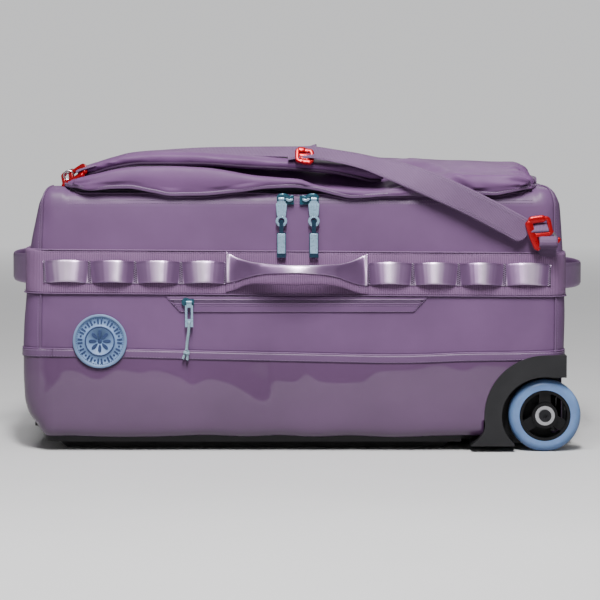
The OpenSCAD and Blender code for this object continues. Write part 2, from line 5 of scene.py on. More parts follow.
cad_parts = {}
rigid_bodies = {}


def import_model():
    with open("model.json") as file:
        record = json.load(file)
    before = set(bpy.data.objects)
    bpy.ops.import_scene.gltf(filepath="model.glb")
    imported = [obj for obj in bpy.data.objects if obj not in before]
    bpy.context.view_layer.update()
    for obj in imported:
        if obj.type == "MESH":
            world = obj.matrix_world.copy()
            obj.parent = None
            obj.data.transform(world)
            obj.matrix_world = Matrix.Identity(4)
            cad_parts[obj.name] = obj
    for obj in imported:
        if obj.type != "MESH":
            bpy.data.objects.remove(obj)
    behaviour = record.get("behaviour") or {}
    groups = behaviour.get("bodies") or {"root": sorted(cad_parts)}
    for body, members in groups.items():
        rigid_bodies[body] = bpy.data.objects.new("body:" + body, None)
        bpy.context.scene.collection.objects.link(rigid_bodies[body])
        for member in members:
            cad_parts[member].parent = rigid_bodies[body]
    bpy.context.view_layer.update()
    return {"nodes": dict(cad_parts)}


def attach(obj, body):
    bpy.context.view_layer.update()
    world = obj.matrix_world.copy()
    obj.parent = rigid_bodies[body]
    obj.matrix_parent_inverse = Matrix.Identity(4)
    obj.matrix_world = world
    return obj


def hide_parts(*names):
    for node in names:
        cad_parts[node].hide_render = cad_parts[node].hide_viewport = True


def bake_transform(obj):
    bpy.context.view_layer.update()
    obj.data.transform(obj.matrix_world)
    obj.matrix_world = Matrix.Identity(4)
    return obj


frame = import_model()
sc = bpy.context.scene
MM = 0.001

# ------------------------------------------------------------------ numbers
XL, XR, YN, YF = -304.0, 304.0, -170.0, 170.0
LX0, LX1 = -262.0, 270.0
BAND_Z = 203.0


def curve1d(pts):
    """Smooth curve through (x, y) points, flat outside them."""
    xs = np.array([p[0] for p in pts], float)
    ys = np.array([p[1] for p in pts], float)
    d = np.diff(ys) / np.diff(xs)
    m = np.zeros_like(ys)
    m[1:-1] = np.where(d[1:] * d[:-1] > 0, 2 * d[1:] * d[:-1] / np.where(np.abs(d[1:] + d[:-1]) < 1e-12, 1, d[1:] + d[:-1]), 0)
    m[0], m[-1] = d[0], d[-1]

    def f(x):
        x = np.clip(np.asarray(x, float), xs[0], xs[-1])
        i = np.clip(np.searchsorted(xs, x, side="right") - 1, 0, len(xs) - 2)
        h = xs[i + 1] - xs[i]
        t = (x - xs[i]) / h
        t2, t3 = t * t, t * t * t
        return (2 * t3 - 3 * t2 + 1) * ys[i] + (t3 - 2 * t2 + t) * h * m[i] + (-2 * t3 + 3 * t2) * ys[i + 1] + (t3 - t2) * h * m[i + 1]
    return f


def sstep(a, b, x):
    t = np.clip((np.asarray(x, float) - a) / (b - a), 0, 1)
    return t * t * (3 - 2 * t)


def bell(x, c, w):
    return np.exp(-((np.asarray(x, float) - c) / w) ** 2)


# seeded gradient noise on a lattice
_rs = np.random.RandomState(7)
_perm = np.concatenate([_rs.permutation(256)] * 3)
_grad = _rs.normal(size=(256, 3))
_grad /= np.linalg.norm(_grad, axis=1)[:, None]


def noise3(p):
    p = np.asarray(p, float)
    i = np.floor(p).astype(int)
    f = p - i
    u = f * f * f * (f * (f * 6 - 15) + 10)
    i &= 255
    out = 0.0
    for dx in (0, 1):
        for dy in (0, 1):
            for dz in (0, 1):
                g = _grad[_perm[_perm[_perm[i[..., 0] + dx] + i[..., 1] + dy] + i[..., 2] + dz]]
                w = (u[..., 0] if dx else 1 - u[..., 0]) * (u[..., 1] if dy else 1 - u[..., 1]) * (u[..., 2] if dz else 1 - u[..., 2])
                out = out + w * (g[..., 0] * (f[..., 0] - dx) + g[..., 1] * (f[..., 1] - dy) + g[..., 2] * (f[..., 2] - dz))
    return out * 1.6


def nz(P, sx, sy, sz, seed=0.0):
    """Noise of a point array in mm, with a wavelength along each axis."""
    q = np.stack([P[..., 0] / sx + seed * 3.17, P[..., 1] / sy + seed * 1.31, P[..., 2] / sz + 11.7 + seed * 0.77], -1)
    return noise3(q)


# ------------------------------------------------------------------ meshes
def new_mesh(name, verts, faces, mat=None, uv=None, smooth=True, mat_idx=None, extra_mats=()):
    me = bpy.data.meshes.new(name)
    v = np.asarray(verts, float) * MM
    me.from_pydata(v.tolist(), [], [list(map(int, f)) for f in faces])
    if uv is not None:
        lay = me.uv_layers.new(name="UVMap")
        li = np.zeros(len(me.loops), np.int32)
        me.loops.foreach_get("vertex_index", li)
        uvs = np.asarray(uv, float)[li]
        lay.data.foreach_set("uv", uvs.astype(np.float32).ravel())
    me.polygons.foreach_set("use_smooth", [smooth] * len(me.polygons))
    ob = bpy.data.objects.new(name, me)
    sc.collection.objects.link(ob)
    if mat is not None:
        me.materials.append(mat)
    for m in extra_mats:
        me.materials.append(m)
    if mat_idx is not None:
        me.polygons.foreach_set("material_index", mat_idx)
    me.update()
    return ob


def grid_faces(nu, nv, close_u=False, close_v=False, mask=None, flip=False):
    iu = np.arange(nu if close_u else nu - 1)
    iv = np.arange(nv if close_v else nv - 1)
    a, b = np.meshgrid(iu, iv, indexing="ij")
    a2, b2 = (a + 1) % nu, (b + 1) % nv
    f = np.stack([a * nv + b, a2 * nv + b, a2 * nv + b2, a * nv + b2], -1)
    if flip:
        f = f[..., ::-1]
    if mask is not None:
        f = f[mask]
    return f.reshape(-1, 4)


def compact(V, F, UV=None):
    used, inv = np.unique(F, return_inverse=True)
    F2 = inv.reshape(F.shape)
    return V[used], F2, (UV[used] if UV is not None else None)


def grid_obj(name, P, mat, uv=None, close_u=False, close_v=False, mask=None, flip=False, thick=0.0, **kw):
    nu, nv = P.shape[:2]
    F = grid_faces(nu, nv, close_u, close_v, mask, flip)
    V = P.reshape(-1, 3)
    U = uv.reshape(-1, 2) if uv is not None else None
    V, F, U = compact(V, F, U)
    ob = new_mesh(name, V, F, mat, U, **kw)
    if thick:
        m = ob.modifiers.new("thickness", "SOLIDIFY")
        m.thickness = thick * MM
        m.offset = -1
        m.use_even_offset = False
    return ob


def normals_of(P, close_u=False, close_v=False):
    du = np.gradient(P, axis=0) if not close_u else (np.roll(P, -1, 0) - np.roll(P, 1, 0)) / 2
    dv = np.gradient(P, axis=1) if not close_v else (np.roll(P, -1, 1) - np.roll(P, 1, 1)) / 2
    n = np.cross(du, dv)
    return n / np.maximum(np.linalg.norm(n, axis=-1, keepdims=True), 1e-9)


def resample(pts, step):
    """Points of a polyline, respaced evenly; also the arc length."""
    p = np.asarray(pts, float)
    s = np.concatenate([[0], np.cumsum(np.linalg.norm(np.diff(p, axis=0), axis=1))])
    n = max(2, int(round(s[-1] / step)) + 1)
    t = np.linspace(0, s[-1], n)
    return np.stack([np.interp(t, s, p[:, k]) for k in range(p.shape[1])], -1), t


def spline(pts, n_per=12, closed=False):
    """Catmull-Rom through points."""
    p = np.asarray(pts, float)
    n = len(p)
    out = []
    rng = n if closed else n - 1
    for i in range(rng):
        p1, p2 = p[i], p[(i + 1) % n]
        p0 = p[(i - 1) % n] if (closed or i > 0) else 2 * p1 - p2
        p3 = p[(i + 2) % n] if (closed or i + 2 < n) else 2 * p2 - p1
        for k in range(n_per):
            t = k / n_per
            out.append(0.5 * ((2 * p1) + (-p0 + p2) * t + (2 * p0 - 5 * p1 + 4 * p2 - p3) * t * t + (-p0 + 3 * p1 - 3 * p2 + p3) * t ** 3))
    if not closed:
        out.append(p[-1])
    return np.array(out)


def frames(path, up, closed=False):
    """Tangent, side and normal along a path; up is one vector or one per point (the face normal wanted)."""
    p = np.asarray(path, float)
    t = (np.roll(p, -1, 0) - np.roll(p, 1, 0)) if closed else np.gradient(p, axis=0)
    t /= np.maximum(np.linalg.norm(t, axis=1, keepdims=True), 1e-9)
    u = np.broadcast_to(np.asarray(up, float), p.shape)
    s = np.cross(t, u)
    s /= np.maximum(np.linalg.norm(s, axis=1, keepdims=True), 1e-9)
    n = np.cross(s, t)
    return t, s, n


def tube(name, path, r, mat, seg=10, up=(0, 0, 1), closed=False, cap=True, rz=None):
    p = np.asarray(path, float)
    t, s, n = frames(p, up, closed)
    a = np.linspace(0, 2 * math.pi, seg, endpoint=False)
    r = np.broadcast_to(np.asarray(r, float), (len(p),))
    rz_ = r if rz is None else np.broadcast_to(np.asarray(rz, float), (len(p),))
    P = p[:, None] + s[:, None] * (np.cos(a)[None, :, None] * r[:, None, None]) + n[:, None] * (np.sin(a)[None, :, None] * rz_[:, None, None])
    L = np.concatenate([[0], np.cumsum(np.linalg.norm(np.diff(p, axis=0), axis=1))])
    uv = np.zeros(P.shape[:2] + (2,))
    uv[..., 0] = L[:, None] * MM
    uv[..., 1] = (a * r.mean())[None, :] * MM
    F = grid_faces(len(p), seg, closed, True, flip=True)
    V = P.reshape(-1, 3)
    faces = [tuple(f) for f in F]
    if cap and not closed:
        faces.append(tuple(range(seg)))
        faces.append(tuple((len(p) - 1) * seg + k for k in range(seg - 1, -1, -1)))
    return new_mesh(name, V, faces, mat, uv.reshape(-1, 2))


def strap(name, path, normals, width, thick, mat, rows=10, edge=0.8, closed=False, width_f=None, cap=True):
    """Flat webbing: rounded section swept along a path that runs down its middle; normals face outwards."""
    p = np.asarray(path, float)
    t, s, n = frames(p, normals, closed)
    w = np.broadcast_to(np.asarray(width if width_f is None else width_f, float), (len(p),)) / 2
    h = thick / 2
    sec = []
    for k in range(rows + 1):
        sec.append((-1 + 2 * k / rows, 1))
    sec2 = [(1 - 2 * k / rows, -1) for k in range(rows + 1)]
    ring = []
    for x, side in sec + sec2:
        ring.append((x, side))
    R = np.array(ring)
    x = R[:, 0]
    ed = np.sqrt(np.clip(1 - np.clip((np.abs(x) * w.mean() - (w.mean() - edge)) / edge, 0, 1) ** 2, 0.0, 1))
    P = p[:, None] + s[:, None] * (x[None, :, None] * w[:, None, None]) + n[:, None] * ((R[:, 1] * h * (0.25 + 0.75 * ed))[None, :, None])
    L = np.concatenate([[0], np.cumsum(np.linalg.norm(np.diff(p, axis=0), axis=1))])
    uv = np.zeros(P.shape[:2] + (2,))
    uv[..., 0] = L[:, None] * MM
    uv[..., 1] = (x[None, :] * w[:, None]) * MM
    m = len(ring)
    F = grid_faces(len(p), m, closed, True, flip=True)
    faces = [tuple(f) for f in F]
    if cap and not closed:
        faces.append(tuple(range(m)))
        faces.append(tuple((len(p) - 1) * m + k for k in range(m - 1, -1, -1)))
    return new_mesh(name, P.reshape(-1, 3), faces, mat, uv.reshape(-1, 2))


def stitches(name, lines, mat, pitch=3.2, length=2.3, r=0.32, lift=0.15):
    """Rows of sewing thread. Each line is (points, normals)."""
    V, F = [], []
    a = [0, 60, 120, 180, 240, 300]
    base = []
    for x, k in ((-0.5, 0.35), (-0.32, 1.0), (0.32, 1.0), (0.5, 0.35)):
        for d in a:
            base.append((x, math.cos(math.radians(d)) * k, math.sin(math.radians(d)) * k))
    base = np.array(base)
    fb = []
    for i in range(3):
        for k in range(6):
            fb.append((i * 6 + k, i * 6 + (k + 1) % 6, (i + 1) * 6 + (k + 1) % 6, (i + 1) * 6 + k))
    fb.append((5, 4, 3, 2, 1, 0))
    fb.append((18, 19, 20, 21, 22, 23))
    off = 0
    for pts, nrm in lines:
        pts = np.asarray(pts, float)
        q, s = resample(pts, pitch)
        nn = np.broadcast_to(np.asarray(nrm, float), pts.shape)
        s0 = np.concatenate([[0], np.cumsum(np.linalg.norm(np.diff(pts, axis=0), axis=1))])
        N = np.stack([np.interp(s, s0, nn[:, k]) for k in range(3)], -1)
        t, sd, n = frames(q, N)
        for i in range(len(q) - 1):
            c = (q[i] + q[i + 1]) / 2
            v = c + base[:, :1] * length * t[i] + base[:, 1:2] * r * sd[i] + (base[:, 2:] * r * 0.75 + lift) * n[i]
            V.append(v)
            F += [tuple(off + j for j in f) for f in fb]
            off += 24
    return new_mesh(name, np.concatenate(V), F, mat)


def rounded_rect(w, h, r, n=6):
    pts = []
    for cx, cy, a0 in ((w / 2 - r, h / 2 - r, 0), (-w / 2 + r, h / 2 - r, 90), (-w / 2 + r, -h / 2 + r, 180), (w / 2 - r, -h / 2 + r, 270)):
        for k in range(n + 1):
            a = math.radians(a0 + 90 * k / n)
            pts.append((cx + r * math.cos(a), cy + r * math.sin(a)))
    return np.array(pts)


def plate(name, outline, z0, z1, mat, bevel=0.4, seg=3, M=None, holes=()):
    """Extruded outline (closed 2-D points, mm) with optional holes and rounded edges; M maps local to the row frame."""
    cu = bpy.data.curves.new(name + "_c", "CURVE")
    cu.dimensions = "2D"
    cu.fill_mode = "BOTH"
    for loop in [outline] + list(holes):
        sp = cu.splines.new("POLY")
        sp.points.add(len(loop) - 1)
        for k, (x, y) in enumerate(loop):
            sp.points[k].co = (x * MM, y * MM, 0, 1)
        sp.use_cyclic_u = True
    b = min(bevel, (z1 - z0) / 2 * 0.95)
    cu.extrude = ((z1 - z0) / 2 - b) * MM
    cu.bevel_depth = b * MM
    cu.bevel_resolution = seg
    cu.offset = -b * MM
    ob = bpy.data.objects.new(name + "_c", cu)
    sc.collection.objects.link(ob)
    dg = bpy.context.evaluated_depsgraph_get()
    me = bpy.data.meshes.new_from_object(ob.evaluated_get(dg))
    bpy.data.objects.remove(ob)
    me.transform(Matrix.Translation((0, 0, (z0 + z1) / 2 * MM)))
    if M is not None:
        me.transform(M)
    me.materials.clear()
    me.materials.append(mat)
    import bmesh
    bm = bmesh.new(); bm.from_mesh(me)
    bmesh.ops.remove_doubles(bm, verts=bm.verts, dist=1e-6)
    bmesh.ops.recalc_face_normals(bm, faces=bm.faces)
    bm.to_mesh(me); bm.free()
    for p in me.polygons:
        p.use_smooth = True
    try:
        me.set_sharp_from_angle(angle=math.radians(50))
    except Exception:
        pass
    o2 = bpy.data.objects.new(name, me)
    sc.collection.objects.link(o2)
    return o2


def lathe(name, prof, mat, centre, axis="-Y", seg=64):
    """Spins a closed (radius, along) profile about the axis through centre."""
    prof = np.asarray(prof, float)
    a = np.linspace(0, 2 * math.pi, seg, endpoint=False)
    P = np.zeros((seg, len(prof), 3))
    c, s_ = np.cos(a)[:, None], np.sin(a)[:, None]
    sgn = -1 if axis == "-Y" else 1
    P[..., 0] = prof[None, :, 0] * c
    P[..., 2] = prof[None, :, 0] * s_
    P[..., 1] = sgn * prof[None, :, 1]
    P += np.asarray(centre, float)
    F = grid_faces(seg, len(prof), True, True, flip=(sgn > 0))
    uv = np.zeros(P.shape[:2] + (2,))
    uv[..., 0] = (a * prof[:, 0].mean())[:, None] * MM
    uv[..., 1] = np.arange(len(prof))[None, :] * MM
    return new_mesh(name, P.reshape(-1, 3), F, mat, uv.reshape(-1, 2))


def M_from(origin, xaxis, yaxis):
    x = Vector(xaxis).normalized()
    y = Vector(yaxis).normalized()
    z = x.cross(y)
    m = Matrix((x, y, z)).transposed().to_4x4()
    m.translation = Vector(origin) * MM
    return m


def bevel_mod(ob, w=0.6, seg=3, angle=35):
    m = ob.modifiers.new("bevel", "BEVEL")
    m.width = w * MM
    m.segments = seg
    m.limit_method = "ANGLE"
    m.angle_limit = math.radians(angle)
    m.harden_normals = False
    return ob


# ------------------------------------------------------------------ materials
class NT:
    def __init__(self, name):
        self.m = bpy.data.materials.new(name)
        self.m.use_nodes = True
        self.t = self.m.node_tree
        self.b = self.t.nodes["Principled BSDF"]
        self.out = self.t.nodes["Material Output"]

    def n(self, kind, **kw):
        nd = self.t.nodes.new(kind)
        for k, v in kw.items():
            if k.startswith("i_"):
                nd.inputs[k[2:].replace("_", " ")].default_value = v
            else:
                setattr(nd, k, v)
        return nd

    def link(self, a, b):
        self.t.links.new(a, b)

    def set(self, **kw):
        for k, v in kw.items():
            self.b.inputs[k.replace("_", " ")].default_value = v

    def coord(self, uv=False, scale=(1, 1, 1)):
        tc = self.n("ShaderNodeTexCoord")
        mp = self.n("ShaderNodeMapping")
        mp.inputs["Scale"].default_value = scale
        self.link(tc.outputs["UV" if uv else "Object"], mp.inputs["Vector"])
        return mp.outputs["Vector"]

    def noise(self, vec, scale, detail=3, rough=0.55, dist=0.0):
        nd = self.n("ShaderNodeTexNoise")
        nd.inputs["Scale"].default_value = scale
        nd.inputs["Detail"].default_value = detail
        nd.inputs["Roughness"].default_value = rough
        nd.inputs["Distortion"].default_value = dist
        self.link(vec, nd.inputs["Vector"])
        return nd.outputs["Fac"]

    def wave(self, vec, scale, direction="X", dist=0.0, profile="SIN", detail=1.0, dscale=1.0):
        nd = self.n("ShaderNodeTexWave", wave_type="BANDS", bands_direction=direction, wave_profile=profile)
        nd.inputs["Scale"].default_value = scale
        nd.inputs["Distortion"].default_value = dist
        nd.inputs["Detail"].default_value = detail
        nd.inputs["Detail Scale"].default_value = dscale
        self.link(vec, nd.inputs["Vector"])
        return nd.outputs["Fac"]

    def math(self, op, a, b=None, clamp=False):
        nd = self.n("ShaderNodeMath", operation=op, use_clamp=clamp)
        for i, v in enumerate((a, b)):
            if v is None:
                continue
            if isinstance(v, (int, float)):
                nd.inputs[i].default_value = v
            else:
                self.link(v, nd.inputs[i])
        return nd.outputs[0]

    def ramp(self, fac, stops):
        nd = self.n("ShaderNodeValToRGB")
        el = nd.color_ramp.elements
        while len(el) < len(stops):
            el.new(0.5)
        for e, (p, c) in zip(el, stops):
            e.position = p
            e.color = (*c, 1) if len(c) == 3 else c
        self.link(fac, nd.inputs["Fac"])
        return nd.outputs["Color"]

    def maprange(self, fac, a, b, c, d):
        nd = self.n("ShaderNodeMapRange")
        for k, v in zip(("From Min", "From Max", "To Min", "To Max"), (a, b, c, d)):
            nd.inputs[k].default_value = v
        self.link(fac, nd.inputs["Value"])
        return nd.outputs["Result"]

    def mix(self, fac, a, b, blend="MIX"):
        nd = self.n("ShaderNodeMix", data_type="RGBA", blend_type=blend)
        if isinstance(fac, (int, float)):
            nd.inputs["Factor"].default_value = fac
        else:
            self.link(fac, nd.inputs["Factor"])
        for key, v in (("A", a), ("B", b)):
            sock = [s for s in nd.inputs if s.name == key and s.type == "RGBA"][0]
            if isinstance(v, tuple):
                sock.default_value = (*v, 1) if len(v) == 3 else v
            else:
                self.link(v, sock)
        return [s for s in nd.outputs if s.type == "RGBA"][0]

    def bump(self, height, strength, dist, normal=None):
        nd = self.n("ShaderNodeBump")
        nd.inputs["Strength"].default_value = strength
        nd.inputs["Distance"].default_value = dist
        self.link(height, nd.inputs["Height"])
        if normal is not None:
            self.link(normal, nd.inputs["Normal"])
        return nd.outputs["Normal"]


def lam(name, col, rough=0.42, coat=0.0, coat_r=0.2, sheen=0.15, rip=0.10, soft=0.0, spec=0.5):
    """Laminated cloth: fine plain weave under a satin skin, faint cloudy tone, soft scuffs."""
    k = NT(name)
    v = k.coord()
    cloud = k.noise(v, 9.0, 4, 0.55)
    dark = tuple(c * 0.86 for c in col)
    lite = tuple(min(1, c * 1.10) for c in col)
    c1 = k.ramp(cloud, [(0.32, dark), (0.68, lite)])
    fine = k.noise(v, 900.0, 2, 0.6)
    c2 = k.mix(k.maprange(fine, 0.3, 0.7, 0.0, 0.08), c1, tuple(c * 0.8 for c in col))
    k.link(c2, k.b.inputs["Base Color"])
    scuff = k.noise(v, 55.0, 5, 0.62, 0.4)
    k.link(k.maprange(scuff, 0.3, 0.75, rough - 0.05, rough + 0.09), k.b.inputs["Roughness"])
    wx = k.wave(v, 1250.0 / (2 * math.pi) * 1.0, "X")
    wz = k.wave(v, 1250.0 / (2 * math.pi) * 1.0, "Z")
    wy = k.wave(v, 1250.0 / (2 * math.pi) * 1.0, "Y")
    weave = k.math("ADD", k.math("MULTIPLY", wx, wz), k.math("MULTIPLY", wy, 0.4))
    n1 = k.bump(weave, rip, 0.00012)
    grain = k.noise(v, 420.0, 3, 0.6)
    n2 = k.bump(grain, 0.12, 0.0003, n1)
    soft_n = k.noise(v, 38.0, 3, 0.5)
    n3 = k.bump(soft_n, 0.06 + soft, 0.0022, n2)
    k.link(n3, k.b.inputs["Normal"])
    if coat > 0.6:
        k.link(k.bump(k.noise(v, 15.0, 2, 0.45), 0.18, 0.0010), k.b.inputs["Coat Normal"])
    k.set(Sheen_Weight=sheen, Sheen_Roughness=0.45, Coat_Weight=coat, Coat_Roughness=coat_r, Specular_IOR_Level=spec)
    if coat > 0.6:
        k.set(Coat_IOR=1.72)
    return k.m


def webbing(name, col, pitch=0.0021, rough=0.62, depth=0.00035, strength=0.8, fine=0.0008, sheen=0.3, twill=0.0):
    """Woven tape: ribs across its length, threads along it. UV is in metres."""
    k = NT(name)
    v = k.coord(uv=True)
    rib = k.wave(v, 1.0 / pitch / 3.18, "X", dist=0.35, detail=2, dscale=40)
    thr = k.wave(v, 1.0 / fine / 3.18, "Y", dist=0.25, detail=1, dscale=60)
    ob = k.coord()
    cloud = k.noise(ob, 26.0, 3)
    base = k.ramp(cloud, [(0.3, tuple(c * 0.88 for c in col)), (0.7, tuple(min(1, c * 1.08) for c in col))])
    # painted shade: the colour darkens in the grooves between the ribs and between the threads
    groove_shade = k.mix(k.maprange(rib, 0.0, 0.55, 0.62, 0.0), base, tuple(c * 0.42 for c in col))
    groove_shade = k.mix(k.maprange(thr, 0.0, 0.5, 0.22, 0.0), groove_shade, tuple(c * 0.5 for c in col))
    k.link(groove_shade, k.b.inputs["Base Color"])
    h = k.math("ADD", k.math("MULTIPLY", rib, 1.0), k.math("MULTIPLY", thr, 0.35))
    fz = k.noise(ob, 2600.0, 2, 0.7)
    h = k.math("ADD", h, k.math("MULTIPLY", fz, 0.25))
    k.link(k.bump(h, strength, depth), k.b.inputs["Normal"])
    k.set(Roughness=rough, Sheen_Weight=sheen, Sheen_Roughness=0.5, Specular_IOR_Level=0.35)
    return k.m


def satin(name, col, painted_highlight=False):
    """Smooth satin-weave tape: long floats along it that shine, a fine edge line, and optionally a highlight painted
    into its colour.
    """
    k = NT(name)
    v = k.coord(uv=True)
    thr = k.wave(v, 1.0 / 0.0009 / 3.18, "Y")
    pick = k.wave(v, 1.0 / 0.0013 / 3.18, "X")
    ob = k.coord()
    cloud = k.noise(ob, 40.0, 3)
    base = k.ramp(cloud, [(0.3, tuple(c * 0.90 for c in col)), (0.7, tuple(min(1, c * 1.07) for c in col))])
    if painted_highlight:
        # painted highlight: the base colour is made light where the tape faces straight out along X and dark where it
        # turns away, standing in for the floats' shine
        geo = k.n("ShaderNodeNewGeometry")
        sep = k.n("ShaderNodeSeparateXYZ")
        k.link(geo.outputs["Normal"], sep.inputs[0])
        wob = k.maprange(k.noise(k.coord(scale=(1, 0.02, 0.02)), 26.0, 1), 0.3, 0.7, -0.13, 0.13)
        face = k.math("ABSOLUTE", k.math("ADD", sep.outputs["X"], wob), 0.0)
        base = k.mix(0.85, base, k.ramp(face, [(0.0, (0.93, 0.76, 0.97)), (0.07, (0.80, 0.60, 0.86)), (0.19, (0.42, 0.25, 0.48)), (0.42, (0.22, 0.11, 0.26))]))
    # painted shade: the colour is a little darker in the troughs between the threads
    c2 = k.mix(k.maprange(thr, 0.0, 0.5, 0.07, 0.0), base, tuple(c * 0.7 for c in col))
    k.link(c2, k.b.inputs["Base Color"])
    h = k.math("ADD", k.math("MULTIPLY", thr, 1.0), k.math("MULTIPLY", pick, 0.3))
    k.link(k.bump(h, 0.05, 0.00012), k.b.inputs["Normal"])
    rg = k.maprange(k.noise(ob, 120.0, 2), 0.3, 0.7, 0.31, 0.36)
    k.link(rg, k.b.inputs["Roughness"])
    tg = k.n("ShaderNodeTangent", direction_type="UV_MAP")
    k.link(tg.outputs["Tangent"], k.b.inputs["Tangent"])
    k.set(Anisotropic=0.9, Anisotropic_Rotation=0.25, Sheen_Weight=0.0, Specular_IOR_Level=0.6, Metallic=0.74)
    return k.m


def plastic(name, col, rough=0.5, grain=0.3, scale=900.0, coat=0.0, wear=0.12, spec=0.5):
    k = NT(name)
    v = k.coord()
    c = k.noise(v, 30.0, 4)
    wearc = tuple(min(1, x * 1.9 + 0.02) for x in col)
    fine = k.noise(v, 260.0, 6, 0.7)
    base = k.ramp(c, [(0.3, tuple(x * 0.85 for x in col)), (0.75, tuple(min(1, x * 1.15) for x in col))])
    k.link(k.mix(k.maprange(fine, 0.58, 0.75, 0.0, wear), base, wearc), k.b.inputs["Base Color"])
    k.link(k.maprange(c, 0.3, 0.7, rough - 0.06, rough + 0.08), k.b.inputs["Roughness"])
    n1 = k.bump(k.noise(v, scale, 3, 0.6), grain, 0.00018)
    k.link(k.bump(k.noise(v, 60.0, 2), 0.05, 0.0008, n1), k.b.inputs["Normal"])
    k.set(Coat_Weight=coat, Coat_Roughness=0.12, Specular_IOR_Level=spec)
    return k.m


def metal(name, col, rough=0.25, brush=(1, 1, 1), brush_s=300.0, strength=0.15, metallic=1.0, coat=0.0, chip=0.0):
    k = NT(name)
    v = k.coord(scale=brush)
    ov = k.coord()
    s = k.noise(v, brush_s, 4, 0.6)
    c = k.noise(ov, 60.0, 4)
    base = k.ramp(c, [(0.3, tuple(x * 0.9 for x in col)), (0.7, tuple(min(1, x * 1.06) for x in col))])
    if chip:
        ch = k.noise(ov, 330.0, 5, 0.75)
        base = k.mix(k.maprange(ch, 0.66, 0.72, 0.0, chip), base, tuple(x * 0.45 for x in col))
    k.link(base, k.b.inputs["Base Color"])
    k.link(k.maprange(s, 0.25, 0.75, rough * 0.75, rough * 1.35), k.b.inputs["Roughness"])
    k.link(k.bump(s, strength, 0.00008), k.b.inputs["Normal"])
    k.set(Metallic=metallic, Coat_Weight=coat, Coat_Roughness=0.08)
    return k.m


def pu(name, col):
    """Cast polyurethane tyre."""
    k = NT(name)
    v = k.coord()
    c = k.noise(v, 45.0, 5, 0.6)
    base = k.ramp(c, [(0.3, tuple(x * 0.86 for x in col)), (0.7, tuple(min(1, x * 1.08) for x in col))])
    dirt = k.noise(v, 160.0, 6, 0.7, 0.5)
    base = k.mix(k.maprange(dirt, 0.56, 0.74, 0.0, 0.25), base, tuple(x * 0.55 for x in col))
    k.link(base, k.b.inputs["Base Color"])
    k.link(k.maprange(dirt, 0.3, 0.7, 0.30, 0.48), k.b.inputs["Roughness"])
    k.link(k.bump(k.noise(v, 700.0, 3), 0.12, 0.0002), k.b.inputs["Normal"])
    k.set(Subsurface_Weight=0.12, Subsurface_Scale=0.004, Specular_IOR_Level=0.5, Coat_Weight=0.15, Coat_Roughness=0.25)
    return k.m


PUR = (0.190, 0.098, 0.222)
M = {
    "upper": lam("m_upper", tuple(c * 1.02 for c in PUR), 0.48, coat=0.08, coat_r=0.25, sheen=0.02, spec=0.32),
    "tub": lam("m_tub", (0.134, 0.061, 0.153), 0.50, coat=1.0, coat_r=0.05, rip=0.04, sheen=0.0, spec=0.3),
    "lid": lam("m_lid", (0.205, 0.098, 0.238), 0.52, coat=0.0, coat_r=0.35, sheen=0.0, spec=0.24),
    "trim": lam("m_trim", tuple(c * 0.9 for c in PUR), 0.45),
    "lining": lam("m_lining", (0.16, 0.13, 0.19), 0.7, sheen=0.3, rip=0.3),
    "ribbed": webbing("m_ribbed", (0.330, 0.176, 0.362), sheen=0.02),
    "coarse": webbing("m_coarse", (0.250, 0.145, 0.285), pitch=0.0016, fine=0.0013, depth=0.0003, strength=0.7, rough=0.7, sheen=0.02),
    "tape": webbing("m_tape", (0.060, 0.035, 0.075), pitch=0.0014, fine=0.001),
    "tape_lite": webbing("m_tape_lite", (0.165, 0.090, 0.195), pitch=0.0014, fine=0.001),
    "tack": plastic("m_tack", (0.52, 0.38, 0.58), 0.5, 0.4, 3000.0, wear=0.0),
    "satin": satin("m_satin", (0.60, 0.38, 0.67), True), "satin_end": satin("m_satin_end", (0.46, 0.28, 0.52)),
     # the near-black cloth for the bartacks is painted shadow for the creases there
     "tack_crease_shadow": lam("m_tack_crease_shadow", (0.080, 0.042, 0.094), 0.6),
    "thread": plastic("m_thread", (0.30, 0.20, 0.34), 0.6, 0.5, 3000.0),
    "black": plastic("m_black", (0.020, 0.020, 0.022), 0.46, 0.35, 1100.0, wear=0.10),
    "hub": plastic("m_hub", (0.006, 0.006, 0.007), 0.34, 0.10, 900.0, coat=0.12, wear=0.03, spec=0.3),
    "button": plastic("m_button", (0.07, 0.07, 0.075), 0.42, 0.3),
    "alu": metal("m_alu", (0.66, 0.67, 0.69), 0.28, (1, 60, 60), 40.0, 0.2),
    "steel": metal("m_steel", (0.72, 0.73, 0.75), 0.16, (1, 1, 1), 500.0, 0.1),
    "bolt": metal("m_bolt", (0.05, 0.05, 0.055), 0.38, metallic=0.9),
    "red": metal("m_red", (0.56, 0.001, 0.008), 0.30, (1, 1, 1), 300.0, 0.06, metallic=0.55, coat=0.25, chip=0.10),
    "teal": metal("m_teal", (0.030, 0.125, 0.185), 0.26, metallic=0.45, coat=0.5, strength=0.05, chip=0.0),
    "navy": metal("m_navy", (0.012, 0.045, 0.085), 0.30, metallic=0.3, coat=0.4, strength=0.05),
    "pull": metal("m_pull", (0.36, 0.56, 0.74), 0.28, metallic=0.25, coat=0.4, strength=0.05, chip=0.0),
    "cord": webbing("m_cord", (0.42, 0.62, 0.74), pitch=0.0011, fine=0.0009, depth=0.0002, rough=0.55),
    "rubber": plastic("m_rubber", (0.235, 0.375, 0.665), 0.52, 0.2, 1500.0, wear=0.02),
    "rubber_lite": plastic("m_rubber_lite", (0.215, 0.335, 0.560), 0.5, 0.2, 1500.0, wear=0.02),
    "rubber_ink": plastic("m_rubber_ink", (0.035, 0.065, 0.175), 0.5, 0.2, 1500.0, wear=0.02),
    "tyre": pu("m_tyre", (0.20, 0.34, 0.66)),
}


# ------------------------------------------------------------------ placing
def put(ob, body, slot=None, *nodes):
    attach(ob, body)
    if nodes:
        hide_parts(*nodes)
    return ob


CAD = {}


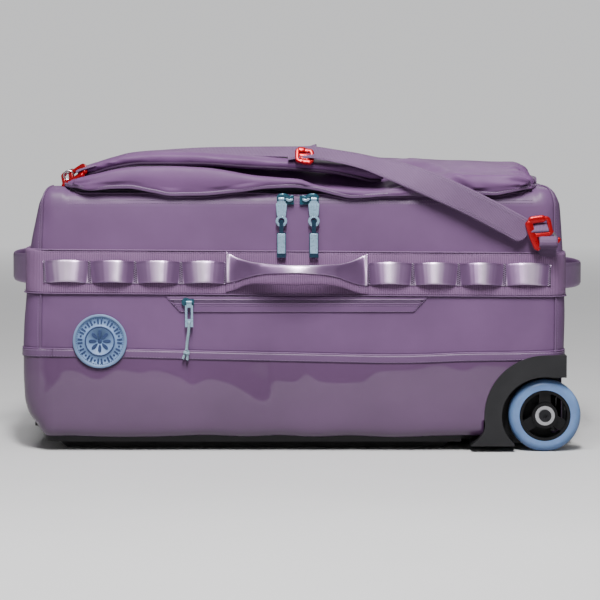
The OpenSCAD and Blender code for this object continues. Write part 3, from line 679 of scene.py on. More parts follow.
def cad(node, mat, bevel=0.5, seg=3):
    """A rigid CAD node keeps its mesh and gets a rounded edge and a finish."""
    ob = frame["nodes"][node]
    ob.data.materials.clear()
    ob.data.materials.append(mat)
    if bevel:
        bevel_mod(ob, bevel, seg)
    for p in ob.data.polygons:
        p.use_smooth = True
    w = ob.modifiers.new("normals", "WEIGHTED_NORMAL")
    w.keep_sharp = True
    CAD[node] = ob
    return ob


# ------------------------------------------------------------------ body shell
def outline(x0, x1, y0, y1, r, step):
    """Closed rounded rectangle, anticlockwise from the near left corner's end: points, outward normals."""
    pts, nrm = [], []

    def line(a, b, n):
        k = max(2, int(round(math.dist(a, b) / step)))
        for i in range(k):
            t = i / k
            pts.append((a[0] + (b[0] - a[0]) * t, a[1] + (b[1] - a[1]) * t))
            nrm.append(n)

    def arc(cx, cy, a0):
        k = max(4, int(round(r * math.pi / 2 / step)))
        for i in range(k):
            a = math.radians(a0 + 90 * i / k)
            pts.append((cx + r * math.cos(a), cy + r * math.sin(a)))
            nrm.append((math.cos(a), math.sin(a)))
    line((x0 + r, y0), (x1 - r, y0), (0, -1))
    arc(x1 - r, y0 + r, -90)
    line((x1, y0 + r), (x1, y1 - r), (1, 0))
    arc(x1 - r, y1 - r, 0)
    line((x1 - r, y1), (x0 + r, y1), (0, 1))
    arc(x0 + r, y1 - r, 90)
    line((x0, y1 - r), (x0, y0 + r), (-1, 0))
    arc(x0 + r, y0 + r, 180)
    return np.array(pts), np.array(nrm)


hem_z = curve1d([(-263.1, 301.0), (-248, 299.6), (-232.2, 297), (-212, 298.6), (-190.5, 299.2), (-163.4, 294.7), (-139.7, 290.7), (-104.8, 291.3), (-68.7, 294.7), (-36.1, 298.8), (-6.8, 300.0), (21.4, 297), (45, 291.3), (62, 288.0), (95.8, 290.2), (138.6, 291.3), (190, 292.4), (223, 291.3), (235.5, 293.6), (255.3, 297.6), (269.4, 299.6)])


def top_z(x):
    """Height of the front panel's top edge, just under the lid's hem."""
    x = np.asarray(x, float)
    z = np.minimum(hem_z(x) - 2.2, 293.4)
    z = z - 3.4 * bell(x, 2, 34)
    e = np.maximum(sstep(LX0 + 20, LX0, x), sstep(LX1 - 20, LX1, x))
    return z + (300.6 - z) * e


seam_c = curve1d([(-306, 117.2), (-200, 116.0), (-80, 113.2), (0, 111.6), (112, 109.6), (200, 112.5), (295, 116.6)])


def seam_z(x):
    return seam_c(x) - 2.4 * sstep(170, 285, np.asarray(x, float))

RIM = 280.6
side_in = curve1d([(18, 14), (19.1, 8.6), (22.1, 4.1), (26.6, 1.1), (34, -0.2), (48, -0.75), (60, -0.95), (80, -0.95), (100, -0.85), (112, -0.7), (128, -0.4), (160, 0.0), (200, 0), (262, 0.0), (280.6, 0.6), (291, 3.2), (296.5, 9), (299.2, 18), (300.4, 28)])
left_in = curve1d([(18, 24), (20, 20), (24.5, 14), (32, 6.2), (43, -2), (62, -6.5), (100, -7.8), (140, -7), (176, -4), (205, -2.6), (229, 1), (257, 6.8), (280.6, 12.6), (290, 18.5), (296.2, 26), (299.2, 34), (300.6, 43)])
right_in = curve1d([(18, 12), (19, 7), (22, 3), (26, 0.8), (34, 0.0), (160, -0.4), (205, 0.4), (227, 2), (256, 3.6), (280.6, 5.6), (291, 10), (297.5, 16), (300.3, 24), (301.2, 34.5)])
STEP = 3.4
O, ON = outline(XL, XR, YN, YF, 28, STEP)
NI = len(O)
_tub = [18.0, 18.0, 18.25, 19.1, 20.5, 22.1, 24.2, 26.6, 30.0]
_deck_s = [280.6, 284, 287.5, 291, 294, 296.5, 298, 299.2, 299.9, 300.4]


def prof_rows(j_tub, j_up):
    return j_tub, j_up


NT_ROWS, NU_ROWS, ND_ROWS = 54, 50, 10


def base_surface(extra=0.0):
    """Grid of the whole bag's skin: columns round it, rows from under the floor up to the deck."""
    zs = seam_z(O[:, 0])
    nx2, ny2 = ON[:, 0] ** 2, ON[:, 1] ** 2
    left = ON[:, 0] < 0
    rows = []
    t = np.linspace(0, 1, NT_ROWS)
    knots = np.concatenate([np.linspace(0, 1, 9)[:-1] * 16, np.linspace(16, 100, NT_ROWS - 8)])
    zt = np.concatenate([18 + 16 * (1 - np.cos(np.linspace(0, np.pi / 2, 9)))[:-1], np.linspace(34, 100, NT_ROWS - 8)])
    for k in range(NT_ROWS):
        z = np.where(zt[k] <= 34, zt[k], 34 + (zt[k] - 34) / 66 * (zs - 34))
        rows.append((z, None))
    for k in range(1, NU_ROWS):
        z = zs + (RIM - zs) * k / (NU_ROWS - 1)
        rows.append((z, None))
    dk = np.array([0.0, 0.16, 0.32, 0.48, 0.62, 0.74, 0.83, 0.90, 0.96, 1.0])
    for k in range(1, ND_ROWS):
        rows.append((np.full(NI, RIM), dk[k]))
    P = np.zeros((NI, len(rows), 3))
    ds = spline([(0.6, 280.6), (3.0, 290.0), (9, 296.8), (18, 299.6), (28, 300.6)], 10)
    dm = spline([(0.6, 280.6), (2.2, 285.6), (5.2, 290.6), (10.2, 295.4), (18.0, 299.2), (28, 300.6)], 10)
    dl = spline([(12.6, 280.6), (18.5, 290), (26, 296.2), (34, 299.4), (43, 300.8)], 10)
    dr = spline([(5.6, 280.6), (10, 291), (16, 297.5), (24, 300.4), (34.8, 301.4)], 10)

    def at(c, t):
        s = np.linspace(0, 1, len(c))
        return np.interp(t, s, c[:, 0]), np.interp(t, s, c[:, 1])
    for j, (z, d) in enumerate(rows):
        if d is None:
            ins = ny2 * side_in(z) + nx2 * np.where(left, left_in(z), right_in(z))
            zz = z
        else:
            a, za = at(ds, d)
            b, zb = at(dl, d)
            c, zc = at(dr, d)
            ins = ny2 * a + nx2 * np.where(left, b, c)
            zz = ny2 * za + nx2 * np.where(left, zb, zc)
            arc_col = (nx2 > 0.001) & (ny2 > 0.001)
            # along the mouth the panel stops short, at the zip
            mouth = (ny2 > 0.999) & (O[:, 0] > LX0) & (O[:, 0] < LX1)
            zt_m = np.where(O[:, 1] < 0, top_z(O[:, 0]), 290.6 + 10.0 * np.maximum(sstep(LX0 + 20, LX0, O[:, 0]), sstep(LX1 - 20, LX1, O[:, 0])))
            sd = np.linspace(0, 1, len(dm))
            dmax = np.interp(np.minimum(zt_m, 300.59), dm[:, 1], sd)
            am, zm_ = np.interp(dmax * d, sd, dm[:, 0]), np.interp(dmax * d, sd, dm[:, 1])
            flat = np.clip(bell(O[:, 0], 2, 26), 0, 1)
            am = am * (1 - 0.55 * flat) + np.interp(zm_, ds[:, 1], ds[:, 0]) * 0.55 * flat
            ins = np.where(mouth, am, ins)
            zz = np.where(mouth, zm_, zz)
            ins = np.where(arc_col, np.minimum(ins, 27.6), ins)
        zz = zz - 2.6 * (1 - sstep(19, 33, zz)) * sstep(14, 7, ins) * (1 + 0.35 * np.sin(O[:, 0] / 17.0 + 1.5 * np.sin(O[:, 0] / 61.0)))
        P[:, j, 0] = O[:, 0] - ON[:, 0] * ins
        P[:, j, 1] = O[:, 1] - ON[:, 1] * ins
        P[:, j, 2] = zz
    return P


P0 = base_surface()
N0 = normals_of(P0, close_u=True)
Zs = seam_z(P0[..., 0])
dz = P0[..., 2] - Zs
SOFT = 0.95 * nz(P0, 120, 120, 75, 1) + 0.30 * nz(P0, 34, 34, 46, 2)
SOFT = SOFT + 0.34 * bell(dz, 0, 9) * nz(P0, 10, 10, 70, 3)
SOFT = SOFT + 0.30 * (bell(P0[..., 2], 231, 7) + bell(P0[..., 2], 175, 7)) * nz(P0, 9, 9, 60, 4)
tubz = bell(P0[..., 2], 88, 22) * (dz < 0)
SOFT = SOFT + 0.42 * tubz * nz(P0, 50, 50, 26, 5) + 0.30 * (dz < 0) * nz(P0, 85, 85, 40, 6)
# creases by the corners: a soft dent under the left shoulder and behind the band's ends
SOFT = SOFT - 1.7 * bell(P0[..., 0], -284, 7) * bell(P0[..., 2], 262, 22) * (P0[..., 1] < -140)
SOFT = SOFT - 1.5 * bell(P0[..., 0], -286, 8) * bell(P0[..., 2], 166, 16) * (P0[..., 1] < -120)
SOFT = SOFT - 1.3 * bell(P0[..., 0], 291, 6) * bell(P0[..., 2], 250, 30) * (P0[..., 1] < -120)
deckw = sstep(RIM, RIM + 12, P0[..., 2])
SOFT = SOFT + 0.9 * deckw * nz(P0, 20, 20, 20, 8)
# long tension folds running up from the seam's ends
fold = np.sin((P0[..., 0] + 0.9 * P0[..., 2]) / 13.0 + 1.3 * nz(P0, 60, 60, 60, 9))
SOFT = SOFT + 0.42 * fold * bell(P0[..., 0], -285, 42) * bell(P0[..., 2], 135, 26) * (P0[..., 1] < 0)
fold2 = np.sin((P0[..., 0] - 0.8 * P0[..., 2]) / 12.0 + 1.5 * nz(P0, 60, 60, 60, 10))
SOFT = SOFT + 0.45 * fold2 * bell(P0[..., 0], 262, 40) * bell(P0[..., 2], 135, 26)
SOFT = SOFT * np.clip(1 - 0.75 * bell(P0[..., 2], 203, 24), 0.25, 1)
on_side = np.abs(ON[:, 1:2]) > 0.9
SOFT = SOFT * np.where(on_side, 1 - 0.62 * bell(P0[..., 2], 84, 34), 1.0)
SOFT = np.clip(SOFT, -3.2, 1.35)
# under the seam the cloth leans back a little, down to a wavering crease
crease_z = curve1d([(-306, 66), (-300, 64.8), (-292, 62.5), (-276, 72.7), (-271.6, 77.2), (-263.7, 94.1), (-253.6, 94.1), (-225.4, 82.3), (-211.9, 89.6), (-204, 95.2), (-175.8, 91.3), (-163.4, 95.2), (-130.7, 85.1), (-119.5, 76.1), (-99.2, 82.8), (-73.3, 77.2), (-46.2, 56.9), (-36.1, 53.5), (-30.4, 59.2), (-26, 81.7), (-2.3, 79.5), (10, 91.2), (25.4, 80.6), (50, 78), (75, 78.3), (90, 91.2), (135, 95.6), (161, 99.7), (189, 93.4), (208.5, 99.7), (250, 97), (290, 97)])
lean = np.minimum(P0[..., 2], Zs) - crease_z(P0[..., 0])
lean = -3.0 * np.tanh(0.062 / 3.0 * np.where(lean > 6, lean, 1.1 * np.log1p(np.exp(np.clip(lean, -30, 7) / 1.1))))
lean = lean * np.where(dz > 0, np.exp(-np.maximum(dz, 0) / 13.0), 1.0)
SOFT = SOFT + lean * on_side
P1 = P0 + N0 * SOFT[..., None]

cx, cy = O[:, 0], O[:, 1]
J_SEAM = NT_ROWS - 1
J_RIM = NT_ROWS + NU_ROWS - 2
J_TOP = P1.shape[1] - 1
q = grid_faces(NI, P1.shape[1], close_u=True).reshape(NI, P1.shape[1] - 1, 4)
qc = (P1.reshape(-1, 3)[q]).mean(axis=2)          # quad centres
jj = np.broadcast_to(np.arange(P1.shape[1] - 1)[None, :], (NI, P1.shape[1] - 1))
near = qc[..., 1] < 0


def side_mask(s):
    """Columns of the near (s<0) or far side panel."""
    col = (cx > -291) & (cx < 293) & ((cy < -140) if s < 0 else (cy > 140))
    nxt = np.roll(col, -1)
    return (col & nxt)[:, None]


# wheel housings and the trolley recess are let into the tub
wx_, wz_ = 281.0, 41.0
rad = np.hypot(qc[..., 0] - wx_, qc[..., 2] - wz_)
in_house = (np.abs(qc[..., 1]) > 129) & (((rad < 63.5) & (qc[..., 0] < wx_ + 2)) | ((qc[..., 0] >= wx_) & (qc[..., 2] < 104)) | ((qc[..., 0] > 212 - 0.35 * np.maximum(0, 24 - qc[..., 2])) & (qc[..., 2] < 36)))
in_cup = (qc[..., 0] < -285) & (np.abs(qc[..., 1]) < 88) & (qc[..., 2] > 24) & (qc[..., 2] < 50.5)
opening = np.zeros_like(near)
S_UV = np.concatenate([[0], np.cumsum(np.linalg.norm(np.diff(O, axis=0), axis=1))])
UV1 = np.zeros(P1.shape[:2] + (2,))
UV1[..., 0] = (S_UV[:, None]) * MM
UV1[..., 1] = P1[..., 2] * MM
up = (jj >= J_SEAM) & ~opening & ~in_house
sides = {"near": side_mask(-1), "far": side_mask(1)}
upper = {}
for nm in ("near", "far"):
    o = grid_obj("body_%s_panel" % nm, P1, M["upper"], UV1, close_u=True, mask=up & sides[nm], thick=1.6)
    upper[nm] = put(o, "root", "fabric_upper", nm + "_side_panel")
ends = ~(sides["near"] | sides["far"])
for nm, sg in (("left", -1), ("right", 1)):
    o = grid_obj("body_%s_end" % nm, P1, M["upper"], UV1, close_u=True, mask=up & ends & (sg * qc[..., 0] > 0), thick=1.6)
    upper[nm] = put(o, "root", "fabric_upper", nm + "_end_panel")
o = grid_obj("tub_skin", P1, M["tub"], UV1, close_u=True, mask=(jj < J_SEAM) & ~in_house & ~in_cup, thick=1.6)
put(o, "root", "fabric_tub", "lower_tub")
# lining: the same skin, inside
lin_mask = (jj < J_RIM) & (qc[..., 2] > 56) & ~((np.abs(qc[..., 1]) > 120) & (qc[..., 0] > 196) & (qc[..., 2] < 122))
PL = P0 - N0 * (3.4 + 0.8 * nz(P0, 26, 26, 34, 21))[..., None]
o = grid_obj("lining_walls", PL, M["lining"], UV1, close_u=True, mask=lin_mask, thick=0.8, flip=True)
put(o, "root", "lining")


def skin(x, z, y=-1, out=0.0):
    """Point on the near (y<0) or far skin at X, Z, in mm."""
    x = np.asarray(x, float); z = np.asarray(z, float)
    ii = np.where((cy < -140) if y < 0 else (cy > 140))[0]
    xs = cx[ii]
    order = np.argsort(xs); ii = ii[order]; xs = xs[order]
    k = np.clip(np.searchsorted(xs, x), 1, len(xs) - 1)
    t = (x - xs[k - 1]) / (xs[k] - xs[k - 1])
    res = []
    for a, b, tt, zz, xx in np.nditer([ii[k - 1], ii[k], t, z, x]):
        ya = np.interp(zz, P1[a, :J_RIM + 1, 2], P1[a, :J_RIM + 1, 1])
        yb = np.interp(zz, P1[b, :J_RIM + 1, 2], P1[b, :J_RIM + 1, 1])
        yy = ya + (yb - ya) * tt
        res.append((xx, yy + (out if y > 0 else -out), zz))
    return np.array(res)


def ring_at(zfun, out):
    """Closed path round the skin at height zfun(X), standing off it by out; with outward normals."""
    pts = []
    for i in range(NI):
        z = float(zfun(P1[i, 0, 0])) if callable(zfun) else float(zfun)
        col = P1[i]
        j = J_RIM + 1
        x = np.interp(z, col[:j, 2], col[:j, 0]); y = np.interp(z, col[:j, 2], col[:j, 1])
        pts.append((x + ON[i, 0] * out, y + ON[i, 1] * out, z))
    n = np.concatenate([ON, np.zeros((NI, 1))], 1)
    return np.array(pts), n


# ------------------------------------------------------------------ lid
lens_z = curve1d([(-263, 302.6), (-251.3, 305.6), (-236, 310.5), (-220.9, 314.5), (-200, 319.5), (-174.7, 322.6), (-140, 323.0), (-109.3, 321.6), (-74.4, 317.3), (-47.3, 313.3), (-20.3, 310.5), (3.4, 308.2), (20, 302.6), (50.7, 298.4), (87.9, 297.0), (110, 300), (140, 308), (180, 313.5), (215, 314.5), (240, 314.0), (258, 311), (270, 307.0)])
crown_z = curve1d([(-263, 302.5), (-250, 309.5), (-235, 315), (-222, 318), (-190, 324), (-150, 328), (-100, 331.5), (0, 332.5), (100, 329.5), (200, 326.5), (245, 324.6), (256, 323.7), (264, 321.0), (268.6, 314.5), (270.5, 307.5)])
ledge_z = curve1d([(-263, 303), (-240, 310), (-200, 317), (-150, 318.5), (-100, 317), (-40, 311), (0, 306), (40, 301), (88, 301.5), (112, 309), (150, 316), (240, 317.0), (258, 314), (270, 307.5)])
XS = np.concatenate([np.linspace(LX0 - 1.5, LX0 + 30, 17)[:-1], np.linspace(LX0 + 30, LX1 - 32, 128)[:-1], np.linspace(LX1 - 32, LX1 + 0.5, 18)])
NVL = 150


def lid_half(X):
    """Half width of the lid's outline at X, on the near and far side."""
    r = 34.0
    def hw(full, x):
        a = np.maximum(0, (LX0 - 1.5 + r) - x)
        b = np.maximum(0, x - (LX1 + 0.5 - r))
        c = np.maximum(a, b)
        return full - r + np.sqrt(np.maximum(r * r - c * c, 0))
    return hw(173.2, X), hw(168.4, X)


LP = np.zeros((len(XS), NVL, 3))
for i, X in enumerate(XS):
    wn, wf = lid_half(X)
    h, l, c, g = float(hem_z(X)), float(lens_z(X)), float(crown_z(X)), float(ledge_z(X))
    l = max(l, h + 1.2)
    deep = float(bell(X, 35, 62))          # the hollow under the pad's tip
    mid = (h + l) / 2
    bul = 2.6 * min(1.0, (l - h) / 14)
    pts = [(-wn, h), (-wn - bul * 0.8, h + (l - h) * 0.28), (-wn - bul, mid + (l - h) * 0.12), (-wn - bul * 0.35 + 1.0, l - (l - h) * 0.06),
           (-wn + 5, l + 0.4 - 1.5 * deep), (-wn + 15, l * 0.35 + g * 0.65 - 3.0 * deep), (-wn + 36, g), (-wn + 62, g * 0.55 + c * 0.45), (-wn + 92, g * 0.1 + c * 0.9), (-30, c), (30, c - 0.6),
           (wf - 80, c - (c - 301) * 0.07), (wf - 46, c - (c - 301) * 0.22), (wf - 20, c - (c - 301) * 0.52), (wf - 5, c - (c - 301) * 0.90), (wf - 0.4, min(298, c - (c - 297) * 0.97)), (wf, 291.0 + 9.5 * float(sstep(LX0 + 34, LX0 + 6, X)) + 9.5 * float(sstep(LX1 - 34, LX1 - 6, X)))]
    p = spline(pts, 14)
    s = np.concatenate([[0], np.cumsum(np.linalg.norm(np.diff(p, axis=0), axis=1))])
    # more rows near the wall
    t = np.linspace(0, 1, NVL)
    t = np.where(t < 0.5, 0.5 * (t / 0.5) ** 1.35, t)
    LP[i, :, 0] = X
    LP[i, :, 1] = np.interp(t * s[-1], s, p[:, 0])
    LP[i, :, 2] = np.interp(t * s[-1], s, p[:, 1])
LN = normals_of(LP)
LN = np.where(LN[..., 2:3] < -0.2, -LN, LN)
if LN[len(XS) // 2, NVL // 2, 2] < 0:
    LN = -LN
dL = LP[..., 0] - LX0
dR = LX1 - LP[..., 0]
wall = sstep(0, 0.02, np.linspace(0, 1, NVL))[None, :]
yq = LP[..., 1]
fl_ = nz(LP, 60, 200, 60, 31)
D = 1.5 * nz(LP, 90, 70, 60, 32) + 0.7 * nz(LP, 34, 30, 40, 33)
# gathers that run in from both sewn ends
gl = np.sin(2 * math.pi * (yq / 13.5 + 1.1 * nz(LP, 70, 22, 40, 34)))
D = D + 2.3 * gl * np.exp(-(dL / 26) ** 2) * sstep(0, 5, dL)
gr = np.sin(2 * math.pi * (yq / 11.0 + 1.1 * nz(LP, 70, 20, 40, 35)))
D = D + 2.6 * np.sign(gr) * np.abs(gr) ** 0.8 * np.exp(-(dR / 24) ** 2) * sstep(0, 5, dR)
# pleats that fan out along the near wall from the left tip
ang = np.arctan2(LP[..., 2] - 300.5, dL + 9)
fan = np.sin(ang * 30 + 1.2 * nz(LP, 50, 50, 50, 36))
D = D + 1.25 * fan * np.exp(-((dL + 4) / 46) ** 2) * sstep(2, 12, dL) * (yq < -120)
ang2 = np.arctan2(LP[..., 2] - 300.5, dR + 9)
fan2 = np.sin(ang2 * 26 + 1.4 * nz(LP, 50, 50, 50, 37))
D = D + 1.35 * fan2 * np.exp(-((dR + 2) / 48) ** 2) * sstep(2, 12, dR) * (yq < -110)
# long drag folds over the right half, falling from the crown towards the zip
fx = LP[..., 0]
drag = np.sin((yq * 0.75 + fx * 0.42) / 15.0 + 1.6 * nz(LP, 90, 60, 60, 38))
D = D + 1.7 * drag * sstep(60, 130, fx) * sstep(0, 30, dR) * bell(yq, -125, 52)
ridge_z = curve1d([(40, 334), (60, 333), (110, 330), (144, 326), (172, 317.2), (195, 304), (206, 297), (215, 292)])
rd = LP[..., 2] - ridge_z(fx)
rw = sstep(60, 110, fx) * sstep(222, 196, fx) * (yq < -70)
D = D + rw * (2.4 * np.exp(-(rd / 3.4) ** 2) - 1.7 * np.exp(-((rd + 8.5) / 5.0) ** 2))
# small ripples along the hem
hemw = np.exp(-np.maximum(LP[..., 2] - hem_z(fx), 0) / 6.0) * (yq < -100)
D = D + 0.7 * hemw * np.sin(fx / 7.0 + 2.2 * nz(LP, 40, 40, 40, 39))
D = np.clip(D, -4.5, 3.4)
edge = np.ones(LP.shape[:2])
edge[:, 0] = 0.3
edge[:, -1] = 0
edge[0] *= 0.25
edge[-1] *= 0.25
# keep the wall from reaching the sliders' room
LP1 = LP + LN * (D * edge)[..., None]
LP1[..., 1] = np.maximum(LP1[..., 1], -177.4)
LP1[..., 2] = np.maximum(LP1[..., 2], 287.5)
sv = np.concatenate([np.zeros((len(XS), 1)), np.cumsum(np.linalg.norm(np.diff(LP, axis=1), axis=2), axis=1)], 1)
LUV = np.stack([LP[..., 0] * MM, sv * MM], -1)
lid = grid_obj("lid_cloth", LP1, M["lid"], LUV, thick=1.3, flip=False)
lid_flip = normals_of(LP1)[len(XS) // 2, NVL // 2, 2] < 0
if lid_flip:
    bpy.data.objects.remove(lid)
    lid = grid_obj("lid_cloth", LP1, M["lid"], LUV, thick=1.3, flip=True)
put(lid, "lid", "fabric_lid", "lid_top_panel", "lid_side_wall")


# the lid's own lining, a little inside the cloth and stopping short of its edges
LL = LP1 - LN * (2.7 - 0.5 * nz(LP, 40, 40, 40, 44) + 4.5 * bell(LP[..., 0], 82, 34) * bell(LP[..., 1], -140, 30))[..., None]
LL = LL[5:-5, 21:-5]
lin_l = grid_obj("lid_lining", LL, M["lining"], LUV[5:-5, 21:-5], thick=0.5, flip=not lid_flip)
put(lin_l, "lid", "lining")


# a binding sewn over the lid's far edge: it is the hinge
hx_ = np.linspace(LX0 + 37, LX1 - 37, 130)
fi = np.where((cy > 140) & (cx > LX0 + 10) & (cx < LX1 - 10))[0]
fi = fi[np.argsort(cx[fi])]
rows_ = []
for j_ in (J_TOP - 5, J_TOP - 2, J_TOP):
    rows_.append(np.stack([hx_, np.interp(hx_, cx[fi], P1[fi, j_, 1]), np.interp(hx_, cx[fi], P1[fi, j_, 2])], -1))
for v_i in (-1, -3, -6):
    rows_.append(np.stack([hx_, np.interp(hx_, XS, LP1[:, v_i, 1]), np.interp(hx_, XS, LP1[:, v_i, 2])], -1))
HB = np.stack(rows_, 1)
HB2 = np.stack([np.array([np.interp(np.linspace(0, 1, 11), np.linspace(0, 1, 6), HB[i_, :, c_]) for i_ in range(len(hx_))]) for c_ in range(3)], -1)
for _ in range(2):
    HB2[:, 1:-1] = (HB2[:, :-2] + 2 * HB2[:, 1:-1] + HB2[:, 2:]) / 4
HB2[..., 1] += 1.0
HB2[..., 2] += 0.35
hb_uv = np.stack([np.broadcast_to(hx_[:, None] * MM, HB2.shape[:2]), np.broadcast_to(np.linspace(0, 0.016, 11)[None], HB2.shape[:2])], -1)
hinge = grid_obj("hinge_binding", HB2, M["trim"], hb_uv, flip=bool(normals_of(HB2)[60, 5, 1] < 0))
hm_ = hinge.modifiers.new("thickness", "SOLIDIFY")
hm_.thickness = 0.0011
hm_.offset = 0
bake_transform(hinge)


def lid_edge(inner=0.0, out=0.0, step=3.0):
    """The lid's hem as a path: near side left to right."""
    e = LP1[:, 0].copy()
    return e


# the folded hem: a narrow strip round the near side and both ends
def hem_path():
    nearp = LP1[:, 0]
    rightp = LP1[-1, :]
    leftp = LP1[0, ::-1]
    p = np.concatenate([leftp, nearp[1:], rightp[1:]])
    p, s = resample(p, 2.6)
    return p


hp = hem_path()
t_ = np.gradient(hp, axis=0)
t_ /= np.linalg.norm(t_, axis=1)[:, None]
outw = np.cross(t_, [0, 0, 1.0])
outw /= np.maximum(np.linalg.norm(outw, axis=1)[:, None], 1e-6)
# smooth the outward direction round the corners
for _ in range(6):
    outw[1:-1] = (outw[:-2] + outw[1:-1] * 2 + outw[2:]) / 4
outw /= np.linalg.norm(outw, axis=1)[:, None]
hc = hp + outw * 0.7 + np.array([0, 0, 1.4])
hem = strap("lid_hem", hc, outw, 4.6, 1.6, M["trim"], rows=6, edge=1.3)
put(hem, "lid", "fabric_lid")
st = [(hc + outw * 0.85 + np.array([0, 0, 0.9]), outw)]
put(stitches("lid_hem_stitch", st, M["thread"], pitch=3.0, length=2.2, r=0.26), "lid", "fabric_lid")

# ------------------------------------------------------------------ zip tapes and chain
ti = [i for i in range(len(XS)) if LX0 + 2 < XS[i] < LX1 - 2]


xsz = np.linspace(LX0 + 6, LX1 - 6, 200)
zc_ = top_z(xsz) + 1.7
ins_z = 0.6 + 8.6 * sstep(280, 297, zc_) ** 1.3
zr = np.stack([xsz, YN + ins_z + 1.0, zc_], -1)
zr, _ = resample(zr, 3.0)
zo = np.broadcast_to([0, -1.0, 0], zr.shape)
uvz = np.stack([np.broadcast_to(np.arange(len(zr))[:, None] * 0.003, (len(zr), 3)), np.broadcast_to(np.array([0, .004, .009])[None], (len(zr), 3))], -1)
low = np.stack([zr + np.array([0, 4.0, -9.0]), zr + np.array([0, 1.2, -4.0]), zr + np.array([0, 0, -0.35])], 1)
put(grid_obj("zip_tape_body", low, M["tape"], uvz, thick=0.7), "root", "zip_tape", "body_zip_tape")
hz_ = np.maximum(hem_z(zr[:, 0]) + 2.6, zr[:, 2] + 2.5)
top_r = zr.copy(); top_r[:, 2] = hz_; top_r[:, 1] -= 1.5
mid_r = (zr + top_r) / 2 + np.array([0, 0.6, 0])
upp = np.stack([zr + np.array([0, 0, 0.35]), mid_r, top_r], 1)
put(grid_obj("zip_tape_lid", upp, M["tape"], uvz, thick=0.7), "lid", "zip_tape", "lid_zip_tape")
for nm, dzc, body in (("body", -1.1, "root"), ("lid", 1.1, "lid")):
    qp, ss = resample(zr + np.array([0, -0.9, dzc]), 1.15)
    rr = 0.75 + 0.25 * (np.arange(len(qp)) % 2)
    put(tube("zip_chain_%s" % nm, qp, rr, M["tape"], seg=6, up=(0, 0, 1), rz=rr * 1.2), body, "zip_tape")

# ------------------------------------------------------------------ seams on the body
def column(i, z0, z1, out=0.9, n=60):
    col = P1[i]
    m = (col[:, 2] >= z0 - 3) & (col[:, 2] <= z1 + 3) & (np.arange(len(col)) <= J_TOP)
    c = col[m]
    nn = N0[i][m]
    return c + nn * out, nn


def nearest_col(x, y):
    return int(np.argmin((cx - x) ** 2 + (cy - y) ** 2))


piping = []
for x, y in ((-291, -170), (293, -170), (-291, 170), (293, 170)):
    i = nearest_col(x, y)
    c = P1[i, J_SEAM:J_TOP + 1]
    nn = N0[i, J_SEAM:J_TOP + 1]
    c, _ = resample(c + nn * 0.5, 2.5)
    o = tube("piping_%s_%s" % ("l" if x < 0 else "r", "n" if y < 0 else "f"), c, 1.15, M["trim"], seg=8, up=(1, 0, 0))
    put(o, "root", "fabric_upper")
    # stitch line beside it, on the end panel
    sgn = -1 if x < 0 else 1
    k = nearest_col(x + sgn * 5.5, y)
    c2 = P1[k, J_SEAM:J_TOP + 1]
    n2 = N0[k, J_SEAM:J_TOP + 1]
    put(stitches("stitch_end_%s_%s" % ("l" if x < 0 else "r", "n" if y < 0 else "f"), [(c2, n2)], M["thread"], r=0.24), "root", "fabric_upper")

# seam between upper cloth and tub: a folded cover strip, sewn twice
sp, sn = ring_at(lambda x: float(seam_z(x)) - 4.6, 0.7)
hx = np.abs(sp[:, 1]) > 118
gap = (sp[:, 0] > 203) & hx
ring_mask = ~gap


def ring_pieces(p, n, keep):
    """Splits a closed ring into open runs where keep is true."""
    k = len(p)
    idx = np.arange(k)
    if keep.all():
        return [(np.concatenate([p, p[:1]]), np.concatenate([n, n[:1]]))]
    start = int(np.where(~keep)[0][0])
    order = (idx + start) % k
    runs, cur = [], []
    for a in order:
        if keep[a]:
            cur.append(a)
        elif cur:
            runs.append(cur); cur = []
    if cur:
        runs.append(cur)
    return [(p[r], n[r]) for r in runs if len(r) > 3]


for m_, (pp, nn) in enumerate(ring_pieces(sp, sn, np.ones(len(sp), bool))):
    o = strap("seam_strip", pp, nn, 9.4, 1.3, M["trim"], rows=6, edge=1.2)
    put(o, "root", "fabric_tub")
zl = [ring_at(lambda x: float(seam_z(x)) - 1.6, 1.45), ring_at(lambda x: float(seam_z(x)) - 7.6, 1.45)]
put(stitches("seam_stitch", [(np.concatenate([p, p[:1]]), np.concatenate([n, n[:1]])) for p, n in zl], M["thread"], r=0.25, pitch=3.4), "root", "fabric_tub")
# a fine welted ridge right on the seam
wp, wn_ = ring_at(lambda x: float(seam_z(x)) + 0.6, 0.5)
o = tube("seam_ridge", wp, 0.95, M["upper"], seg=8, up=(0, 0, 1), closed=True)
put(o, "root", "fabric_upper")

# the front and back panels: folded top edge under the lid, and the rows of stitches below it
for s_nm, yy in (("near", -1), ("far", 1)):
    ids = [i for i in range(NI) if ON[i, 1] * yy > 0.999 and LX0 + 3 < cx[i] < LX1 - 3]
    ids.sort(key=lambda i: cx[i])
    p = P1[ids, J_TOP]
    put(tube("rim_fold_%s" % s_nm, resample(p, 3.0)[0], 1.1, M["upper"], seg=8, up=(0, 0, 1)), "root", "fabric_upper")
    n = np.array([0, float(yy), 0])
    rows_ = []
    for zz in (281.4, 284.9):
        pts = []
        for i in ids:
            col = P1[i]
            if col[J_TOP, 2] < zz + 1:
                continue
            pts.append((np.interp(zz, col[:, 2], col[:, 0]), np.interp(zz, col[:, 2], col[:, 1]) + yy * 0.15, zz + 0.35 * math.sin(cx[i] / 31.0)))
        rows_.append((np.array(pts), n))
    put(stitches("rim_stitch_%s" % s_nm, rows_, M["thread"], r=0.24, pitch=3.0), "root", "fabric_upper")

